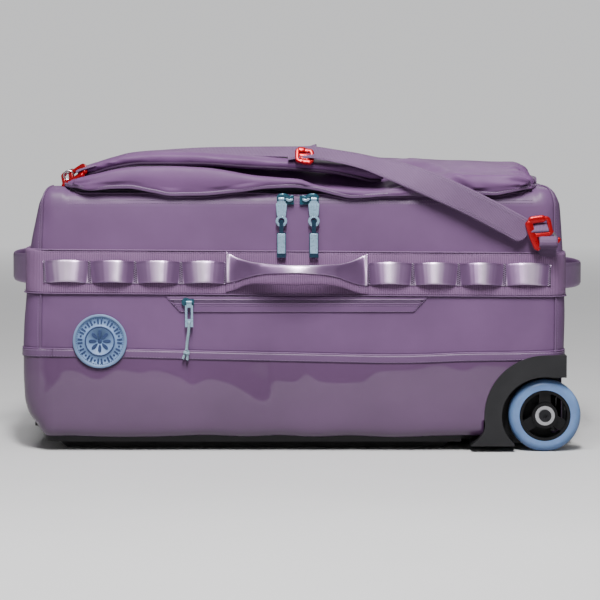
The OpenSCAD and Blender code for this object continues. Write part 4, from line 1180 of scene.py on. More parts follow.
# ------------------------------------------------------------------ webbing band
bp, bn = ring_at(BAND_Z, 1.1)
o = strap("band_web", np.concatenate([bp, bp[:1]]), np.concatenate([bn, bn[:1]]), 51.0, 1.9, M["ribbed"], rows=16, edge=0.9, cap=False)
put(o, "root", "webbing_ribbed", "webbing_band")
o_ = []
for zz, nm in ((BAND_Z + 24.6, "top"), (BAND_Z - 24.6, "low")):
    p, n = ring_at(zz, 2.1)
    put(tube("band_selvedge_%s" % nm, p, 0.85, M["coarse"], seg=6, up=(0, 0, 1), closed=True, rz=0.7), "root", "webbing_ribbed")
put(stitches("band_stitch", [(np.concatenate([p, p[:1]]), np.concatenate([n, n[:1]])) for p, n in (ring_at(BAND_Z + 22.4, 2.1), ring_at(BAND_Z - 22.4, 2.1))], M["thread"], r=0.26, pitch=3.6), "root", "webbing_ribbed")


def bartack(name_lines, c, along, across, normal, h, w, n=16):
    """Zigzag of thread: c centre, 'across' runs up its height h, w wide."""
    c = np.asarray(c, float)
    pts = []
    for k in range(n + 1):
        u = -0.5 + k / n
        pts.append(c + np.asarray(across, float) * h * u + np.asarray(along, float) * (w / 2 if k % 2 else -w / 2))
    name_lines.append((np.array(pts), np.asarray(normal, float)))


def zigzag(name, lines, mat, r=0.36):
    obs = []
    V, F, off = [], [], 0
    for pts, nrm in lines:
        nn = np.broadcast_to(nrm, pts.shape)
        t, s, n = frames(pts, nn)
        a = np.linspace(0, 2 * math.pi, 6, endpoint=False)
        P = pts[:, None] + s[:, None] * (np.cos(a) * r)[None, :, None] + n[:, None] * (np.sin(a) * r)[None, :, None]
        f = grid_faces(len(pts), 6, False, True, flip=True) + off
        V.append(P.reshape(-1, 3))
        F.append(f)
        off += len(pts) * 6
    return new_mesh(name, np.concatenate(V), np.concatenate(F), mat)


# daisy chains: satin loops with bartacks, near and far
PITCH = 51.6
tacks, tack_shadows = [], []
for side, yy in (("near", -1), ("far", 1)):
    for half, sg in (("left", -1), ("right", 1)):
        rs = np.random.RandomState(11 + (sg > 0) + 2 * (yy > 0))
        pts, wid = [], []
        for k in range(4):
            bow = [5.4, 6.0, 6.2, 5.6][k] + rs.uniform(-0.4, 0.4)
            if k == 3:
                bow *= 0.72
            n = 40
            for j in range(n if k < 3 else n + 1):
                u = j / n
                lean = 0.10 * math.sin(2 * math.pi * u) * rs.uniform(0.6, 1.0)
                u2 = min(1, max(0, (u - 0.045) / 0.91))
                h = bow * max(0.0, math.sin(math.pi * min(1, max(0, u2 + lean * u2 * (1 - u2) * 2)))) ** 0.78
                x = sg * (79 + (k + u) * PITCH)
                base = skin([x], [BAND_Z], yy, 2.1)[0]
                pts.append((x, base[1] + yy * (0.75 + h), BAND_Z - 0.6 + 1.9 * math.sin(math.pi * u)))
                wid.append(24.9)
        pts = np.array(pts)
        nrm = np.zeros_like(pts)
        nrm[:, 1] = yy
        tt = np.gradient(pts, axis=0)
        nrm = np.cross(np.cross(tt, [0, yy, 0]), tt)
        nrm /= np.linalg.norm(nrm, axis=1)[:, None]
        o = strap("daisy_%s_%s" % (side, half), pts, nrm, 25, 1.1, M["satin"], rows=12, edge=0.4, width_f=np.array(wid))
        put(o, "root", "webbing_satin", *(["daisy_chains"] if (side, half) == ("near", "left") else []))
        for k in range(5):
            x = sg * (79 + k * PITCH)
            b = skin([x], [BAND_Z], yy, 3.85)[0]
            if k == 0:
                b = skin([x + sg * 1.6], [BAND_Z], yy, 3.85)[0]
            if k == 4:
                b = skin([x - sg * 1.4], [BAND_Z], yy, 3.85)[0]
            bartack(tacks, b, (1, 0, 0), (0, 0, 1), (0, yy, 0), 24.0, 2.9, 20)
            tack_shadows.append((b[0], b[1] - yy * 0.25, b[2], yy))
put(zigzag("bartacks", tacks, M["tack"], 0.46), "root", "webbing_satin")
# painted shadow: a thin near-black sheet under each bartack stands in for the shade in the crease where the loops meet
# the band
V, F = [], []
for bx_, by_, bz_, yy in tack_shadows:
    n0 = len(V)
    for dx_, dz_ in ((-2.0, -12.2), (2.0, -12.2), (2.0, 12.2), (-2.0, 12.2)):
        V.append((bx_ + dx_, by_, bz_ + dz_))
        V.append((bx_ + dx_, by_ - yy * 0.9, bz_ + dz_))
    a, b, c, d, e, f, g, h = (n0 + i for i in (0, 2, 4, 6, 1, 3, 5, 7))
    quads = [(a, b, c, d), (a, e, f, b), (b, f, g, c), (c, g, h, d), (d, h, e, a)]
    F += [q_ if yy < 0 else q_[::-1] for q_ in quads]
put(new_mesh("daisy_tack_beds", np.array(V), F, M["tack_crease_shadow"], smooth=False), "root", "webbing_satin")


# ------------------------------------------------------------------ grab handles
gz_top = curve1d([(-80, 226.5), (-74, 223.2), (-67, 219.6), (-57, 216.4), (-45, 214.2), (-20, 212.4), (0, 212.0), (20, 212.2), (45, 213.0), (57, 215.0), (67, 218.6), (74, 222.2), (80, 225.5)])
gz_mid = curve1d([(-80, 192.5), (-68.7, 194.6), (-57, 198.7), (-45, 201.7), (-20, 203.7), (0, 204.1), (26, 202.8), (45, 200.0), (60.5, 194.2), (70, 191.5), (80, 190.5)])
gz_low = curve1d([(-80, 180.0), (-70, 183.4), (-56.8, 188.6), (-45, 190.4), (-20, 190.2), (0, 189.9), (26, 190.2), (49.6, 187.0), (60, 183.6), (72, 180.0), (80, 179.4)])


def grab(side, yy):
    xs = np.linspace(-80, 80, 121)
    u = np.clip(np.abs(xs) / 76.0, 0, 1)
    off = 17.2 * np.cos(u * math.pi / 2) ** 1.15
    off = off + 0.25
    T = 1.15 + 2.3 * sstep(80, 40, np.abs(xs))         # half thickness
    zt, zm, zl = gz_top(xs), gz_mid(xs), gz_low(xs)
    if yy > 0:
        zt, zm, zl = zt[::-1], zm[::-1], zl[::-1]
    zc, H = (zt + zl) / 2, (zt - zl) / 2
    base = skin(xs, np.full_like(xs, BAND_Z), yy, 2.2)[:, 1]
    yc = base + yy * (off + T)
    nv = 40
    a = np.linspace(0, 2 * math.pi, nv, endpoint=False)
    e = 0.62
    ca, sa = np.cos(a), np.sin(a)
    cs = np.sign(ca) * np.abs(ca) ** e
    ss = np.sign(sa) * np.abs(sa) ** 0.9
    P = np.zeros((len(xs), nv, 3))
    P[..., 0] = xs[:, None]
    P[..., 1] = yc[:, None] + yy * T[:, None] * cs[None]
    P[..., 2] = zc[:, None] + (H[:, None] - 0.7) * ss[None]
    rip = 0.35 * nz(P, 16, 16, 14, 51 + yy)
    P[..., 2] += rip
    L = np.concatenate([[0], np.cumsum(np.hypot(np.diff(xs), np.diff(off)))])
    uv = np.stack([np.broadcast_to(L[:, None] * MM, P.shape[:2]), np.broadcast_to(np.linspace(0, 0.05, nv)[None], P.shape[:2])], -1)
    F = grid_faces(len(xs), nv, False, True, flip=(yy > 0))
    faces = [tuple(f) for f in F] + [tuple(range(nv)), tuple((len(xs) - 1) * nv + k for k in range(nv - 1, -1, -1))]
    o = new_mesh("grab_sleeve_%s" % side, P.reshape(-1, 3), faces, M["ribbed"], uv.reshape(-1, 2))
    put(o, "root", "webbing_ribbed")
    # satin face over the upper half
    nv2 = 22
    Q = np.zeros((len(xs), nv2, 3))
    for i in range(len(xs)):
        lowa = math.asin(max(-0.98, min(0.98, (zm[i] - zc[i]) / H[i])))
        aa = np.linspace(lowa, math.radians(112), nv2)
        c_, s_2 = np.cos(aa), np.sin(aa)
        Q[i, :, 0] = xs[i]
        Q[i, :, 1] = yc[i] + yy * (T[i] + 0.55) * np.sign(c_) * np.abs(c_) ** e
        Q[i, :, 2] = zc[i] + (H[i] + 0.1) * np.sign(s_2) * np.abs(s_2) ** 0.9
    Q[..., 2] += 0.25 * nz(Q, 18, 18, 14, 53 + yy)
    uv2 = np.stack([np.broadcast_to(L[:, None] * MM, Q.shape[:2]), np.broadcast_to(np.linspace(0, 0.025, nv2)[None], Q.shape[:2])], -1)
    o = grid_obj("grab_satin_%s" % side, Q, M["satin"], uv2, flip=(yy > 0), thick=-0.9)
    put(o, "root", "webbing_satin", *(["side_handles"] if side == "near" else []))
    ln = []
    for sx in (-1, 1):
        for xx in (77.5, 70.5):
            k = int(np.argmin(np.abs(xs - sx * xx)))
            z = np.linspace(zl[k] + 2.5, zt[k] - 2.5, 14)
            ln.append((np.stack([np.full(14, sx * xx), np.full(14, yc[k] + yy * (T[k] + 0.75)), z], -1), np.array([0, yy, 0.0])))
    return ln


gst = grab("near", -1) + grab("far", 1)
put(stitches("grab_stitch", gst, M["thread"], pitch=2.6, length=2.0, r=0.32), "root", "webbing_satin")

# ------------------------------------------------------------------ end handles
for nm, sx, z0, z1 in (("left", -1, 183.6, 218.6), ("right", 1, 181.8, 211.6)):
    ys = np.linspace(-80, 80, 121)
    u = np.clip(np.abs(ys) / 69.0, 0, 1)
    off = 28.4 * np.cos(u * math.pi / 2) ** 0.75
    bx = (XL if sx < 0 else XR) + sx * 2.0
    pts = np.stack([bx + sx * (off + 1.6), ys, np.full_like(ys, (z0 + z1) / 2)], -1)
    pts[:, 2] += 0.8 * np.sin(ys / 30.0)
    tt = np.gradient(pts, axis=0)
    nrm = np.cross(tt, [0, 0, 1.0]) * (1 if sx > 0 else -1)
    nrm = nrm / np.linalg.norm(nrm, axis=1)[:, None]
    nrm = np.where(nrm[:, :1] * sx < 0, -nrm, nrm)
    wf = (z1 - z0) * (1 - 0.10 * np.cos(u * math.pi / 2) ** 2)
    o = strap("end_loop_%s" % nm, pts, nrm, z1 - z0, 2.9, M["satin_end"], rows=12, edge=1.4, width_f=wf)
    put(o, "root", "webbing_satin", *(["end_handles"] if nm == "left" else []))
    ln = []
    for sy in (-1, 1):
        for yy2 in (77.5, 71.0):
            k = int(np.argmin(np.abs(ys - sy * yy2)))
            z = np.linspace(z0 + 3, z1 - 3, 12)
            ln.append((np.stack([np.full(12, pts[k, 0] + sx * 1.55), np.full(12, sy * yy2), z], -1), np.array([sx, 0, 0.0])))
    put(stitches("end_loop_stitch_%s" % nm, ln, M["thread"], pitch=2.6, length=2.0, r=0.32), "root", "webbing_satin")

# ------------------------------------------------------------------ pocket
def welt(nm, z0, z1, lip_top, hgt=1.35):
    """A folded strip with mitred ends between z0 and z1."""
    nu, nv = 150, 14
    v = np.linspace(0, 1, nv)
    z = z0 + (z1 - z0) * v
    P = np.zeros((nu, nv, 3))
    half = 132 + (z - 158) * 0.92
    t = np.linspace(-1, 1, nu)
    X = t[:, None] * half[None, :]
    dist_e = (1 - np.abs(t))[:, None] * half[None, :]
    rise = np.minimum(1, np.minimum(v[None, :] * (z1 - z0) / 1.4 + (0 if not lip_top else 0), 10)) if lip_top else np.minimum(1, (1 - v)[None, :] * (z1 - z0) / 1.4)
    rise = np.minimum(rise, dist_e / 1.6)
    rise = np.sqrt(np.clip(rise, 0, 1))
    lip = bell(v, 1.0 if lip_top else 0.0, 0.16)[None, :]
    h = 0.15 + hgt * rise * (1 + 0.55 * lip)
    P[..., 0] = X
    P[..., 2] = z[None, :]
    sk = np.array([[skin([x], [zz], -1, 0)[0][1] for zz in (z0, z1)] for x in np.linspace(-150, 150, 40)])
    for j in range(nv):
        yb = np.interp(X[:, j], np.linspace(-150, 150, 40), sk[:, 0] + (sk[:, 1] - sk[:, 0]) * v[j])
        P[:, j, 1] = yb - h[:, j] - 0.12 * nz(P[:, j][:, None], 14, 14, 14, 61)[:, 0]
    uv = np.stack([P[..., 0] * MM, P[..., 2] * MM], -1)
    return grid_obj("pocket_welt_%s" % nm, P, M["upper"], uv, thick=0.9)


put(welt("low", 158.0, 169.4, True), "root", "fabric_upper", "pocket_welt")
put(welt("top", 172.6, 177.2, False, 1.1), "root", "fabric_upper")
xs = np.linspace(-140, 140, 120)
tp = np.stack([skin(xs, np.full_like(xs, z), -1, o_)for z, o_ in ((168.6, 0.25), (171.0, 0.45), (173.6, 0.25))], 1)
put(grid_obj("pocket_tape", tp, M["tape_lite"], np.stack([tp[..., 0] * MM, tp[..., 2] * MM], -1)), "root", "zip_tape", "pocket_zip_coil")
for nm, zz in (("a", 170.35), ("b", 171.65)):
    p = skin(np.linspace(-139, 139, 260), np.full(260, zz), -1, 0.95)
    rr = 0.62 + 0.2 * (np.arange(260) % 2)
    put(tube("pocket_coil_%s" % nm, p, rr, M["tape_lite"], seg=6, up=(0, 0, 1)), "root", "zip_tape")
ln = []
x1 = np.linspace(-131, 131, 160)
ln.append((skin(x1, np.full(160, 159.6), -1, 1.55), np.array([0, -1.0, 0])))
x1 = np.linspace(-137, 137, 160)
ln.append((skin(x1, np.full(160, 166.2), -1, 1.65), np.array([0, -1.0, 0])))
for sx in (-1, 1):
    z = np.linspace(159.6, 175, 12)
    ln.append((skin(sx * (130.6 + (z - 158) * 0.92), z, -1, 1.5), np.array([0, -1.0, 0])))
put(stitches("pocket_stitch", ln, M["thread"], pitch=2.9, length=2.1, r=0.26), "root", "fabric_upper")
cad("pocket_slider", M["teal"], 0.45)
cad("pocket_tab", M["pull"], 0.4)

# cord: through the tab's hole, hanging, with a knot and two short tails
cpts = [(-121.5, YN - 9.9, 147.2), (-121.55, YN - 9.8, 144.5), (-121.7, YN - 9.5, 141), (-122.2, YN - 8.9, 136), (-123.0, YN - 8.0, 130.5), (-123.7, YN - 7.2, 125.5), (-124.2, YN - 6.6, 121), (-124.6, YN - 6.2, 116.4)]
cs_ = spline([np.array(p) for p in cpts], 10)
cs_, cl = resample(cs_, 0.9)
tw = 1.6 * (1 + 0.035 * np.sin(np.arange(len(cs_)) * 1.9))
cord_ob = tube("pull_cord", cs_, tw, M["cord"], seg=12, up=(0, -1, 0))
put(cord_ob, "pocket_pull", "cord_blue", "pocket_cord")
# knot: a small overhand wrap, and the loop through the tab
kn = []
for k in range(60):
    a = k / 59 * 2 * math.pi * 2.2
    kn.append((-124.65 + 2.3 * math.cos(a), YN - 6.3 + 1.6 * math.sin(a * 1.0), 114.8 - 2.6 * (k / 59) + 0.5 * math.sin(a * 2)))
knot = tube("cord_knot", np.array(kn), 1.35, M["cord"], seg=9, up=(0, 0, 1))
put(knot, "pocket_pull", "cord_blue")
ta = spline([(-125.1, YN - 6.2, 113.3), (-127.1, YN - 5.8, 110.0), (-128.5, YN - 5.6, 106.6)], 8)
tb = spline([(-124.1, YN - 6.6, 113.1), (-123.5, YN - 6.3, 109.2), (-123.8, YN - 5.8, 105.4)], 8)
tails = [tube("cord_tail_a", ta, np.linspace(1.35, 1.55, len(ta)), M["cord"], seg=9, up=(0, -1, 0)), tube("cord_tail_b", tb, np.linspace(1.35, 1.55, len(tb)), M["cord"], seg=9, up=(0, -1, 0))]
for t__ in tails:
    put(t__, "pocket_pull", "cord_blue")
lp_ = []
for k in range(28):
    a = math.radians(-150 + 300 * k / 27)
    lp_.append((-121.5 + 0.2 * math.sin(a), YN - 7.7 - 2.15 * math.cos(a), 146.4 - 2.6 * math.sin(a) * 0.9))
loop_o = tube("cord_loop", np.array(lp_), 1.25, M["cord"], seg=9, up=(1, 0, 0))
put(loop_o, "pocket_pull", "cord_blue")

# ------------------------------------------------------------------ badge
BX, BZ = -222.5, 126.2
by = -171.4
put(lathe("badge_disc", [(0.001, 0), (30.0, 0), (30.4, 0.5), (30.5, 1.4), (30.2, 2.1), (29.6, 2.4), (28.2, 2.4), (27.7, 2.1), (27.5, 1.5), (17.2, 1.5), (17.0, 1.9), (16.6, 2.1), (16.0, 2.1), (15.6, 1.9), (15.4, 1.5), (0.001, 1.5)], M["rubber"], (BX, by, BZ), "-Y", 96), "root", "badge_rubber", "badge")
put(lathe("badge_rim", [(27.6, 1.6), (30.55, 1.6), (30.6, 2.0), (30.3, 2.5), (29.7, 2.75), (28.3, 2.75), (27.75, 2.5), (27.5, 2.1)], M["rubber_lite"], (BX, by, BZ), "-Y", 96), "root", "badge_rubber")
put(lathe("badge_ring", [(15.5, 1.4), (17.1, 1.4), (17.1, 2.1), (16.7, 2.35), (15.9, 2.35), (15.5, 2.1)], M["rubber_ink"], (BX, by, BZ), "-Y", 72), "root", "badge_rubber")
V, F, off = [], [], 0


def bump_shape(pts2, h0, h1, inset=0.35):
    """Raised low shape with a bevelled edge from a 2-D outline (x, z)."""
    global off
    p = np.asarray(pts2, float)
    c = p.mean(0)
    d = p - c
    ln_ = np.linalg.norm(d, axis=1, keepdims=True)
    rings = [(p, h0), (p, h1 - inset), (c + d * (1 - inset * 0.6 / np.maximum(ln_, 0.6)), h1)]
    n = len(p)
    for q_, hh in rings:
        V.append(np.stack([q_[:, 0], np.full(n, by - hh), q_[:, 1]], -1))
    for r_ in range(2):
        for k in range(n):
            F.append((off + r_ * n + k, off + r_ * n + (k + 1) % n, off + (r_ + 1) * n + (k + 1) % n, off + (r_ + 1) * n + k))
    F.append(tuple(off + 2 * n + k for k in range(n)))
    off += 3 * n


# a generic border of bars and dots round a plain eight-petal rosette
for k in range(36):
    a = math.radians(k * 10 + 5)
    u_ = np.array([math.cos(a), math.sin(a)]); w_ = np.array([-u_[1], u_[0]])
    if k % 3 != 1:
        quad = [(19.6, -0.85), (25.2, -1.15), (25.2, 1.15), (19.6, 0.85)]
        bump_shape([np.array([BX, BZ]) + u_ * r_ + w_ * s_ for r_, s_ in quad], 1.4, 2.2)
    else:
        bump_shape([np.array([BX, BZ]) + u_ * 22.4 + 1.25 * np.array([math.cos(t), math.sin(t)]) for t in np.linspace(0, 2 * math.pi, 12, endpoint=False)], 1.4, 2.2)
for k in range(8):
    a = math.radians(k * 45)
    u_ = np.array([math.cos(a), math.sin(a)]); w_ = np.array([-u_[1], u_[0]])
    pet = []
    for t in np.linspace(0, 2 * math.pi, 16, endpoint=False):
        r_ = 8.0 + 4.6 * math.cos(t)
        s_ = 1.9 * math.sin(t) * (1 + 0.25 * math.cos(t))
        pet.append(np.array([BX, BZ]) + u_ * r_ + w_ * s_)
    bump_shape(pet, 1.4, 2.2)
bump_shape([np.array([BX, BZ]) + 2.4 * np.array([math.cos(t), math.sin(t)]) for t in np.linspace(0, 2 * math.pi, 20, endpoint=False)], 1.4, 2.3)
put(new_mesh("badge_motif", np.concatenate(V), F, M["rubber_ink"], smooth=False), "root", "badge_rubber")
a_ = np.linspace(0, 2 * math.pi, 90)
put(stitches("badge_stitch", [(np.stack([BX + 26.2 * np.cos(a_), np.full(90, by - 1.6), BZ + 26.2 * np.sin(a_)], -1), np.array([0, -1.0, 0]))], M["rubber_ink"], pitch=2.6, length=1.7, r=0.3), "root", "badge_rubber")

# ------------------------------------------------------------------ shoulder strap
padL = curve1d([(-250, 311.5), (-232, 314), (-209.6, 320.4), (-174.7, 325.2), (-109.3, 324.9), (-57.5, 321.6), (-1.1, 319.0), (38.3, 315.6), (62, 310.8), (87.9, 305.8), (98.6, 306.8)])
padU = curve1d([(-250, 316.5), (-234.4, 322.0), (-223, 326.4), (-204, 331.4), (-191.6, 334.6), (-174.7, 336.6), (-152, 337.8), (-109, 337.0), (-60, 333.4), (-19, 330.6), (3.4, 328.8), (45, 325.2), (82.3, 319.0), (92, 314.5), (98.6, 309.2)])


def pad_mesh():
    xs = np.concatenate([np.linspace(-249, -238, 6)[:-1], np.linspace(-238, 86, 110)[:-1], np.linspace(86, 98, 8)])
    nv = 34
    P = np.zeros((len(xs), nv, 3))
    for i, X in enumerate(xs):
        L, U = float(padL(X)), float(padU(X))
        e = min(1.0, max(0.0, (X + 251) / 22.0), max(0.0, (99.5 - X) / 13.0))
        e = math.sqrt(max(0.0, 1 - (1 - min(e, 1)) ** 2))
        yc0, hw = -131.5 - 2.0 * float(sstep(20, 98, X)), 27.5 * (0.42 + 0.58 * e)
        if X < -200:
            hw = hw * (0.62 + 0.38 * float(sstep(-250, -200, X)))
        yn_, yf_ = yc0 - hw, yc0 + hw
        top = U + 1.0 * float(sstep(-240, -190, X))
        sec = [(yn_ + 6.5, L + (U - L) * 0.10), (yn_ + 3.0, L + (U - L) * 0.32), (yn_ + 0.6, L + (U - L) * 0.58), (yn_ + 0.6, L + (U - L) * 0.80), (yn_ + 3.8, L + (U - L) * 0.96), (yn_ + 11, U + 0.6), (yc0, top - 0.2), (yf_ - 10, top + 1.2), (yf_ - 2, top - 3), (yf_, top - 7.5), (yf_ - 4, top - 10.5), (yc0, L + 2.8), (yn_ + 16, L + 0.3), (yn_ + 10, L)]
        c = spline([(a, b) for a, b in sec], 8, closed=True)
        s = np.concatenate([[0], np.cumsum(np.linalg.norm(np.diff(np.vstack([c, c[:1]]), axis=0), axis=1))])
        t = np.linspace(0, s[-1], nv, endpoint=False)
        cc = np.vstack([c, c[:1]])
        P[i, :, 0] = X
        P[i, :, 1] = np.interp(t, s, cc[:, 0])
        P[i, :, 2] = np.interp(t, s, cc[:, 1])
    return xs, P


pxs, PP = pad_mesh()
nv_ = PP.shape[1]
PF = [tuple(f) for f in grid_faces(len(pxs), nv_, False, True)] + [tuple(range(nv_ - 1, -1, -1)), tuple((len(pxs) - 1) * nv_ + k for k in range(nv_))]
puv = np.stack([np.broadcast_to(pxs[:, None] * MM, PP.shape[:2]), np.broadcast_to(np.linspace(0, 0.13, nv_)[None], PP.shape[:2])], -1)
pad = new_mesh("shoulder_pad", PP.reshape(-1, 3), PF, M["lid"], puv.reshape(-1, 2))


def inflate(ob, voxel=4.6, pressure=4.0, cap=1.7, frames_n=20):
    """Blows the piece up as sewn cloth, gravity off, and keeps every point within cap mm of where it was."""
    import bmesh
    bpy.context.view_layer.objects.active = ob
    rm = ob.modifiers.new("remesh", "REMESH")
    rm.mode = "VOXEL"
    rm.voxel_size = voxel * MM
    rm.adaptivity = 0
    dg = bpy.context.evaluated_depsgraph_get()
    me = bpy.data.meshes.new_from_object(ob.evaluated_get(dg))
    ob.modifiers.remove(rm)
    old = ob.data
    mats = list(old.materials)
    ob.data = me
    me.materials.clear()
    for m_ in mats:
        me.materials.append(m_)
    base = np.array([v.co for v in me.vertices])
    cl_ = ob.modifiers.new("cloth", "CLOTH")
    s = cl_.settings
    s.quality = 6
    s.mass = 0.25
    s.tension_stiffness = 22
    s.compression_stiffness = 9
    s.shear_stiffness = 6
    s.bending_stiffness = 0.4
    s.use_pressure = True
    s.uniform_pressure_force = pressure
    s.effector_weights.gravity = 0.0
    s.shrink_min = -0.035
    cl_.point_cache.frame_start = 1
    cl_.point_cache.frame_end = frames_n
    for f in range(1, frames_n + 1):
        sc.frame_set(f)
    dg = bpy.context.evaluated_depsgraph_get()
    ev = ob.evaluated_get(dg).to_mesh()
    new = np.array([v.co for v in ev.vertices])
    ob.evaluated_get(dg).to_mesh_clear()
    ob.modifiers.remove(cl_)
    sc.frame_set(1)
    d = new - base
    ln_ = np.linalg.norm(d, axis=1, keepdims=True)
    d *= np.minimum(1, cap * MM / np.maximum(ln_, 1e-9))
    out = base + d
    me.vertices.foreach_set("co", out.astype(np.float32).ravel())
    me.polygons.foreach_set("use_smooth", [True] * len(me.polygons))
    me.update()
    sub = ob.modifiers.new("smooth", "SUBSURF")
    sub.levels = 1
    sub.render_levels = 1
    return ob


inflate(pad)
put(pad, "lid", "strap_fabric", "strap_pad")
# binding along the pad's near edge
edge_n = PP[:, 0] + np.array([0, -0.9, -0.1])
edge_n = edge_n[3:-2]
# painted shade: the binding is coloured near black to stand in for the shade under the pad's rolled near edge
M["pad_trim"] = lam("m_pad_trim", (0.060, 0.029, 0.070), 0.62, sheen=0.0, spec=0.2)
put(tube("pad_binding", resample(edge_n, 2.5)[0], 1.35, M["pad_trim"], seg=8, up=(0, 0, 1), rz=1.7), "lid", "strap_fabric")


def ribbon(name, st_, width, thick, mat, rows=14, n_per=10, edge=0.9, **kw):
    c = spline([p[0] for p in st_], n_per)
    nn = spline([p[1] for p in st_], n_per)
    nn /= np.linalg.norm(nn, axis=1)[:, None]
    return strap(name, c, nn, width, thick, mat, rows=rows, edge=edge, **kw), c, nn


# upper webbing on the pad, up to and over the adjuster
stC = [((-204, -128, 326.0), (0, -.20, 1)), ((-190, -127, 332.4), (0, -.22, 1)), ((-160, -126, 337.0), (0, -.22, 1)), ((-110, -127, 339.4), (0, -.30, 1)), ((-60, -129.5, 339.7), (0, -.36, 1)),
       ((-22, -133, 339.4), (0, -.42, 1)), ((2, -137.5, 339.4), (0, -.45, 1)), ((14, -140, 340.2), (0, -.42, 1)), ((22, -141, 342.4), (-0.25, -.40, 1))]
wC, cC, nC = ribbon("webbing_upper", stC, 29, 2.0, M["coarse"], n_per=12)
put(wC, "lid", "strap_fabric")
# long webbing from the adjuster down to the wheel-end hook
stB = [((-9, -146.5, 336.2), (0, -.45, 1)), ((2, -148.5, 337.9), (0, -.45, 1)), ((14, -151, 338.9), (0, -.47, 1)), ((24, -152, 338.2), (0.05, -.48, 1)), ((40, -153.2, 335.4), (0, -.50, 1)), ((62, -156, 331.4), (0, -.56, 1)), ((84, -160.5, 326.0), (0, -.68, 1)),
       ((110, -168.0, 318.2), (0, -1, .8)), ((130, -175.0, 310.8), (0, -1, .48)), ((150, -180.4, 302.8), (0, -1, .24)), ((181, -183.6, 289.0), (0, -1, .05)), ((205, -184.4, 277.2), (0, -1, 0)), ((228, -184.2, 265.2), (0, -1, 0)), ((242, -183.0, 257.6), (-.05, -1, 0)), ((251, -182.0, 252.6), (0, -1, 0)), ((258.5, -181.4, 248.6), (0, -1, 0))]
cB0 = spline([p[0] for p in stB], 12)
dB0 = np.concatenate([np.cumsum(np.linalg.norm(np.diff(cB0, axis=0), axis=1)[::-1])[::-1], [0]])
wfB = 29 * np.where(dB0 < 9, 0.36 + 0.64 * np.sqrt(np.clip(1 - (1 - np.clip(dB0, 0, 9) / 9) ** 2, 0, 1)), 1.0)
wB, cB, nB = ribbon("webbing_long", stB, 29, 2.0, M["coarse"], n_per=12, width_f=wfB)
put(wB, "lid", "strap_fabric", "strap_webbing")
tB, sB, mB = frames(cB, nB)
lnB = []
for off_ in (12.9, 10.9):
    lnB.append(((cB + sB * off_ + mB * 1.1)[:-10], nB[:-10]))
    lnB.append(((cB - sB * off_ + mB * 1.1)[:-10], nB[:-10]))
put(stitches("webbing_long_stitch", lnB, M["thread"], pitch=2.6, length=2.0, r=0.22, lift=0.05), "lid", "strap_fabric")
# two rows of stitches where the webbing folds back from the hook
k0 = int(np.argmin(np.abs(cB[:, 0] - 222)))
boxl = []
for sgn in (-9.5, 9.5):
    boxl.append((cB[k0 - 18:k0 + 10] + sB[k0 - 18:k0 + 10] * sgn + mB[k0 - 18:k0 + 10] * 1.1, nB[k0 - 18:k0 + 10]))
put(stitches("webbing_box_stitch", boxl, M["thread"], pitch=2.4, length=1.9, r=0.24), "lid", "strap_fabric")
# short tail that shows in the hook's window
tl = np.array([(260.5, -183.6, 254.2), (266, -184.6, 254.8), (274, -185.2, 255.4), (281.5, -184.4, 255.6)])
tl = spline(tl, 8)
put(strap("webbing_tail", tl, (0, -1, .75), 12.0, 2.2, M["coarse"], rows=8, edge=0.9), "lid", "strap_fabric")

# ------------------------------------------------------------------ adjuster, hooks, gates, anchors
def frame_bars(name, paths, mat):
    """Rounded bars along paths: (points, half width in plane, half thickness, closed, plane normal)."""
    import bmesh
    objs = []
    for k, (pts, r, rz, closed, up) in enumerate(paths):
        p = np.asarray(pts, float)
        rr = np.full(len(p), float(r)); zz = np.full(len(p), float(rz))
        if not closed:
            L = np.concatenate([[0], np.cumsum(np.linalg.norm(np.diff(p, axis=0), axis=1))])
            e = np.minimum(L, L[-1] - L)
            f = np.sqrt(np.clip(1 - (1 - np.clip(e / r, 0, 1)) ** 2, 0.02, 1))
            rr *= f; zz *= 0.6 + 0.4 * f
        t, s, n = frames(p, up, closed)
        m = 20
        a = np.linspace(0, 2 * math.pi, m, endpoint=False)
        ca = np.sign(np.cos(a)) * np.abs(np.cos(a)) ** 0.62
        sa = np.sign(np.sin(a)) * np.abs(np.sin(a)) ** 0.62
        P = p[:, None] + s[:, None] * (ca[None, :, None] * rr[:, None, None]) + n[:, None] * (sa[None, :, None] * zz[:, None, None])
        F = [tuple(f) for f in grid_faces(len(p), m, closed, True, flip=True)]
        if not closed:
            F += [tuple(range(m)), tuple((len(p) - 1) * m + k2 for k2 in range(m - 1, -1, -1))]
        objs.append((P.reshape(-1, 3), F))
    V, FF, o = [], [], 0
    for v, f in objs:
        V.append(v)
        FF += [tuple(o + i for i in g) for g in f]
        o += len(v)
    return new_mesh(name, np.concatenate(V), FF, mat)


def fillet(pts, r, n=6, closed=False):
    p = [np.asarray(q, float) for q in pts]
    out = []
    k = len(p)
    for i in range(k):
        if not closed and i in (0, k - 1):
            out.append(p[i]); continue
        a, b, c = p[i - 1], p[i], p[(i + 1) % k]
        d1, d2 = a - b, c - b
        l1, l2 = np.linalg.norm(d1), np.linalg.norm(d2)
        rr = min(r, l1 * 0.45, l2 * 0.45)
        s, e = b + d1 / l1 * rr, b + d2 / l2 * rr
        for j in range(n + 1):
            t = j / n
            out.append((1 - t) ** 2 * s + 2 * t * (1 - t) * b + t * t * e)
    return np.array(out)


def dense(p, step=1.2, closed=False):
    p = np.asarray(p, float)
    if closed:
        p = np.vstack([p, p[:1]])
        q_, _ = resample(p, step)
        return q_[:-1]
    return resample(p, step)[0]


ac = np.array([8.6, -157.5, 334.4])
ax_, ay_ = np.array([1.0, 0, -0.10]), np.array([0, -0.50, -0.866])
ax_ /= np.linalg.norm(ax_)
an_ = np.cross(ay_, ax_)
if an_[2] < 0:
    an_ = -an_


def ap(x, y):
    return ac + ax_ * x + ay_ * y


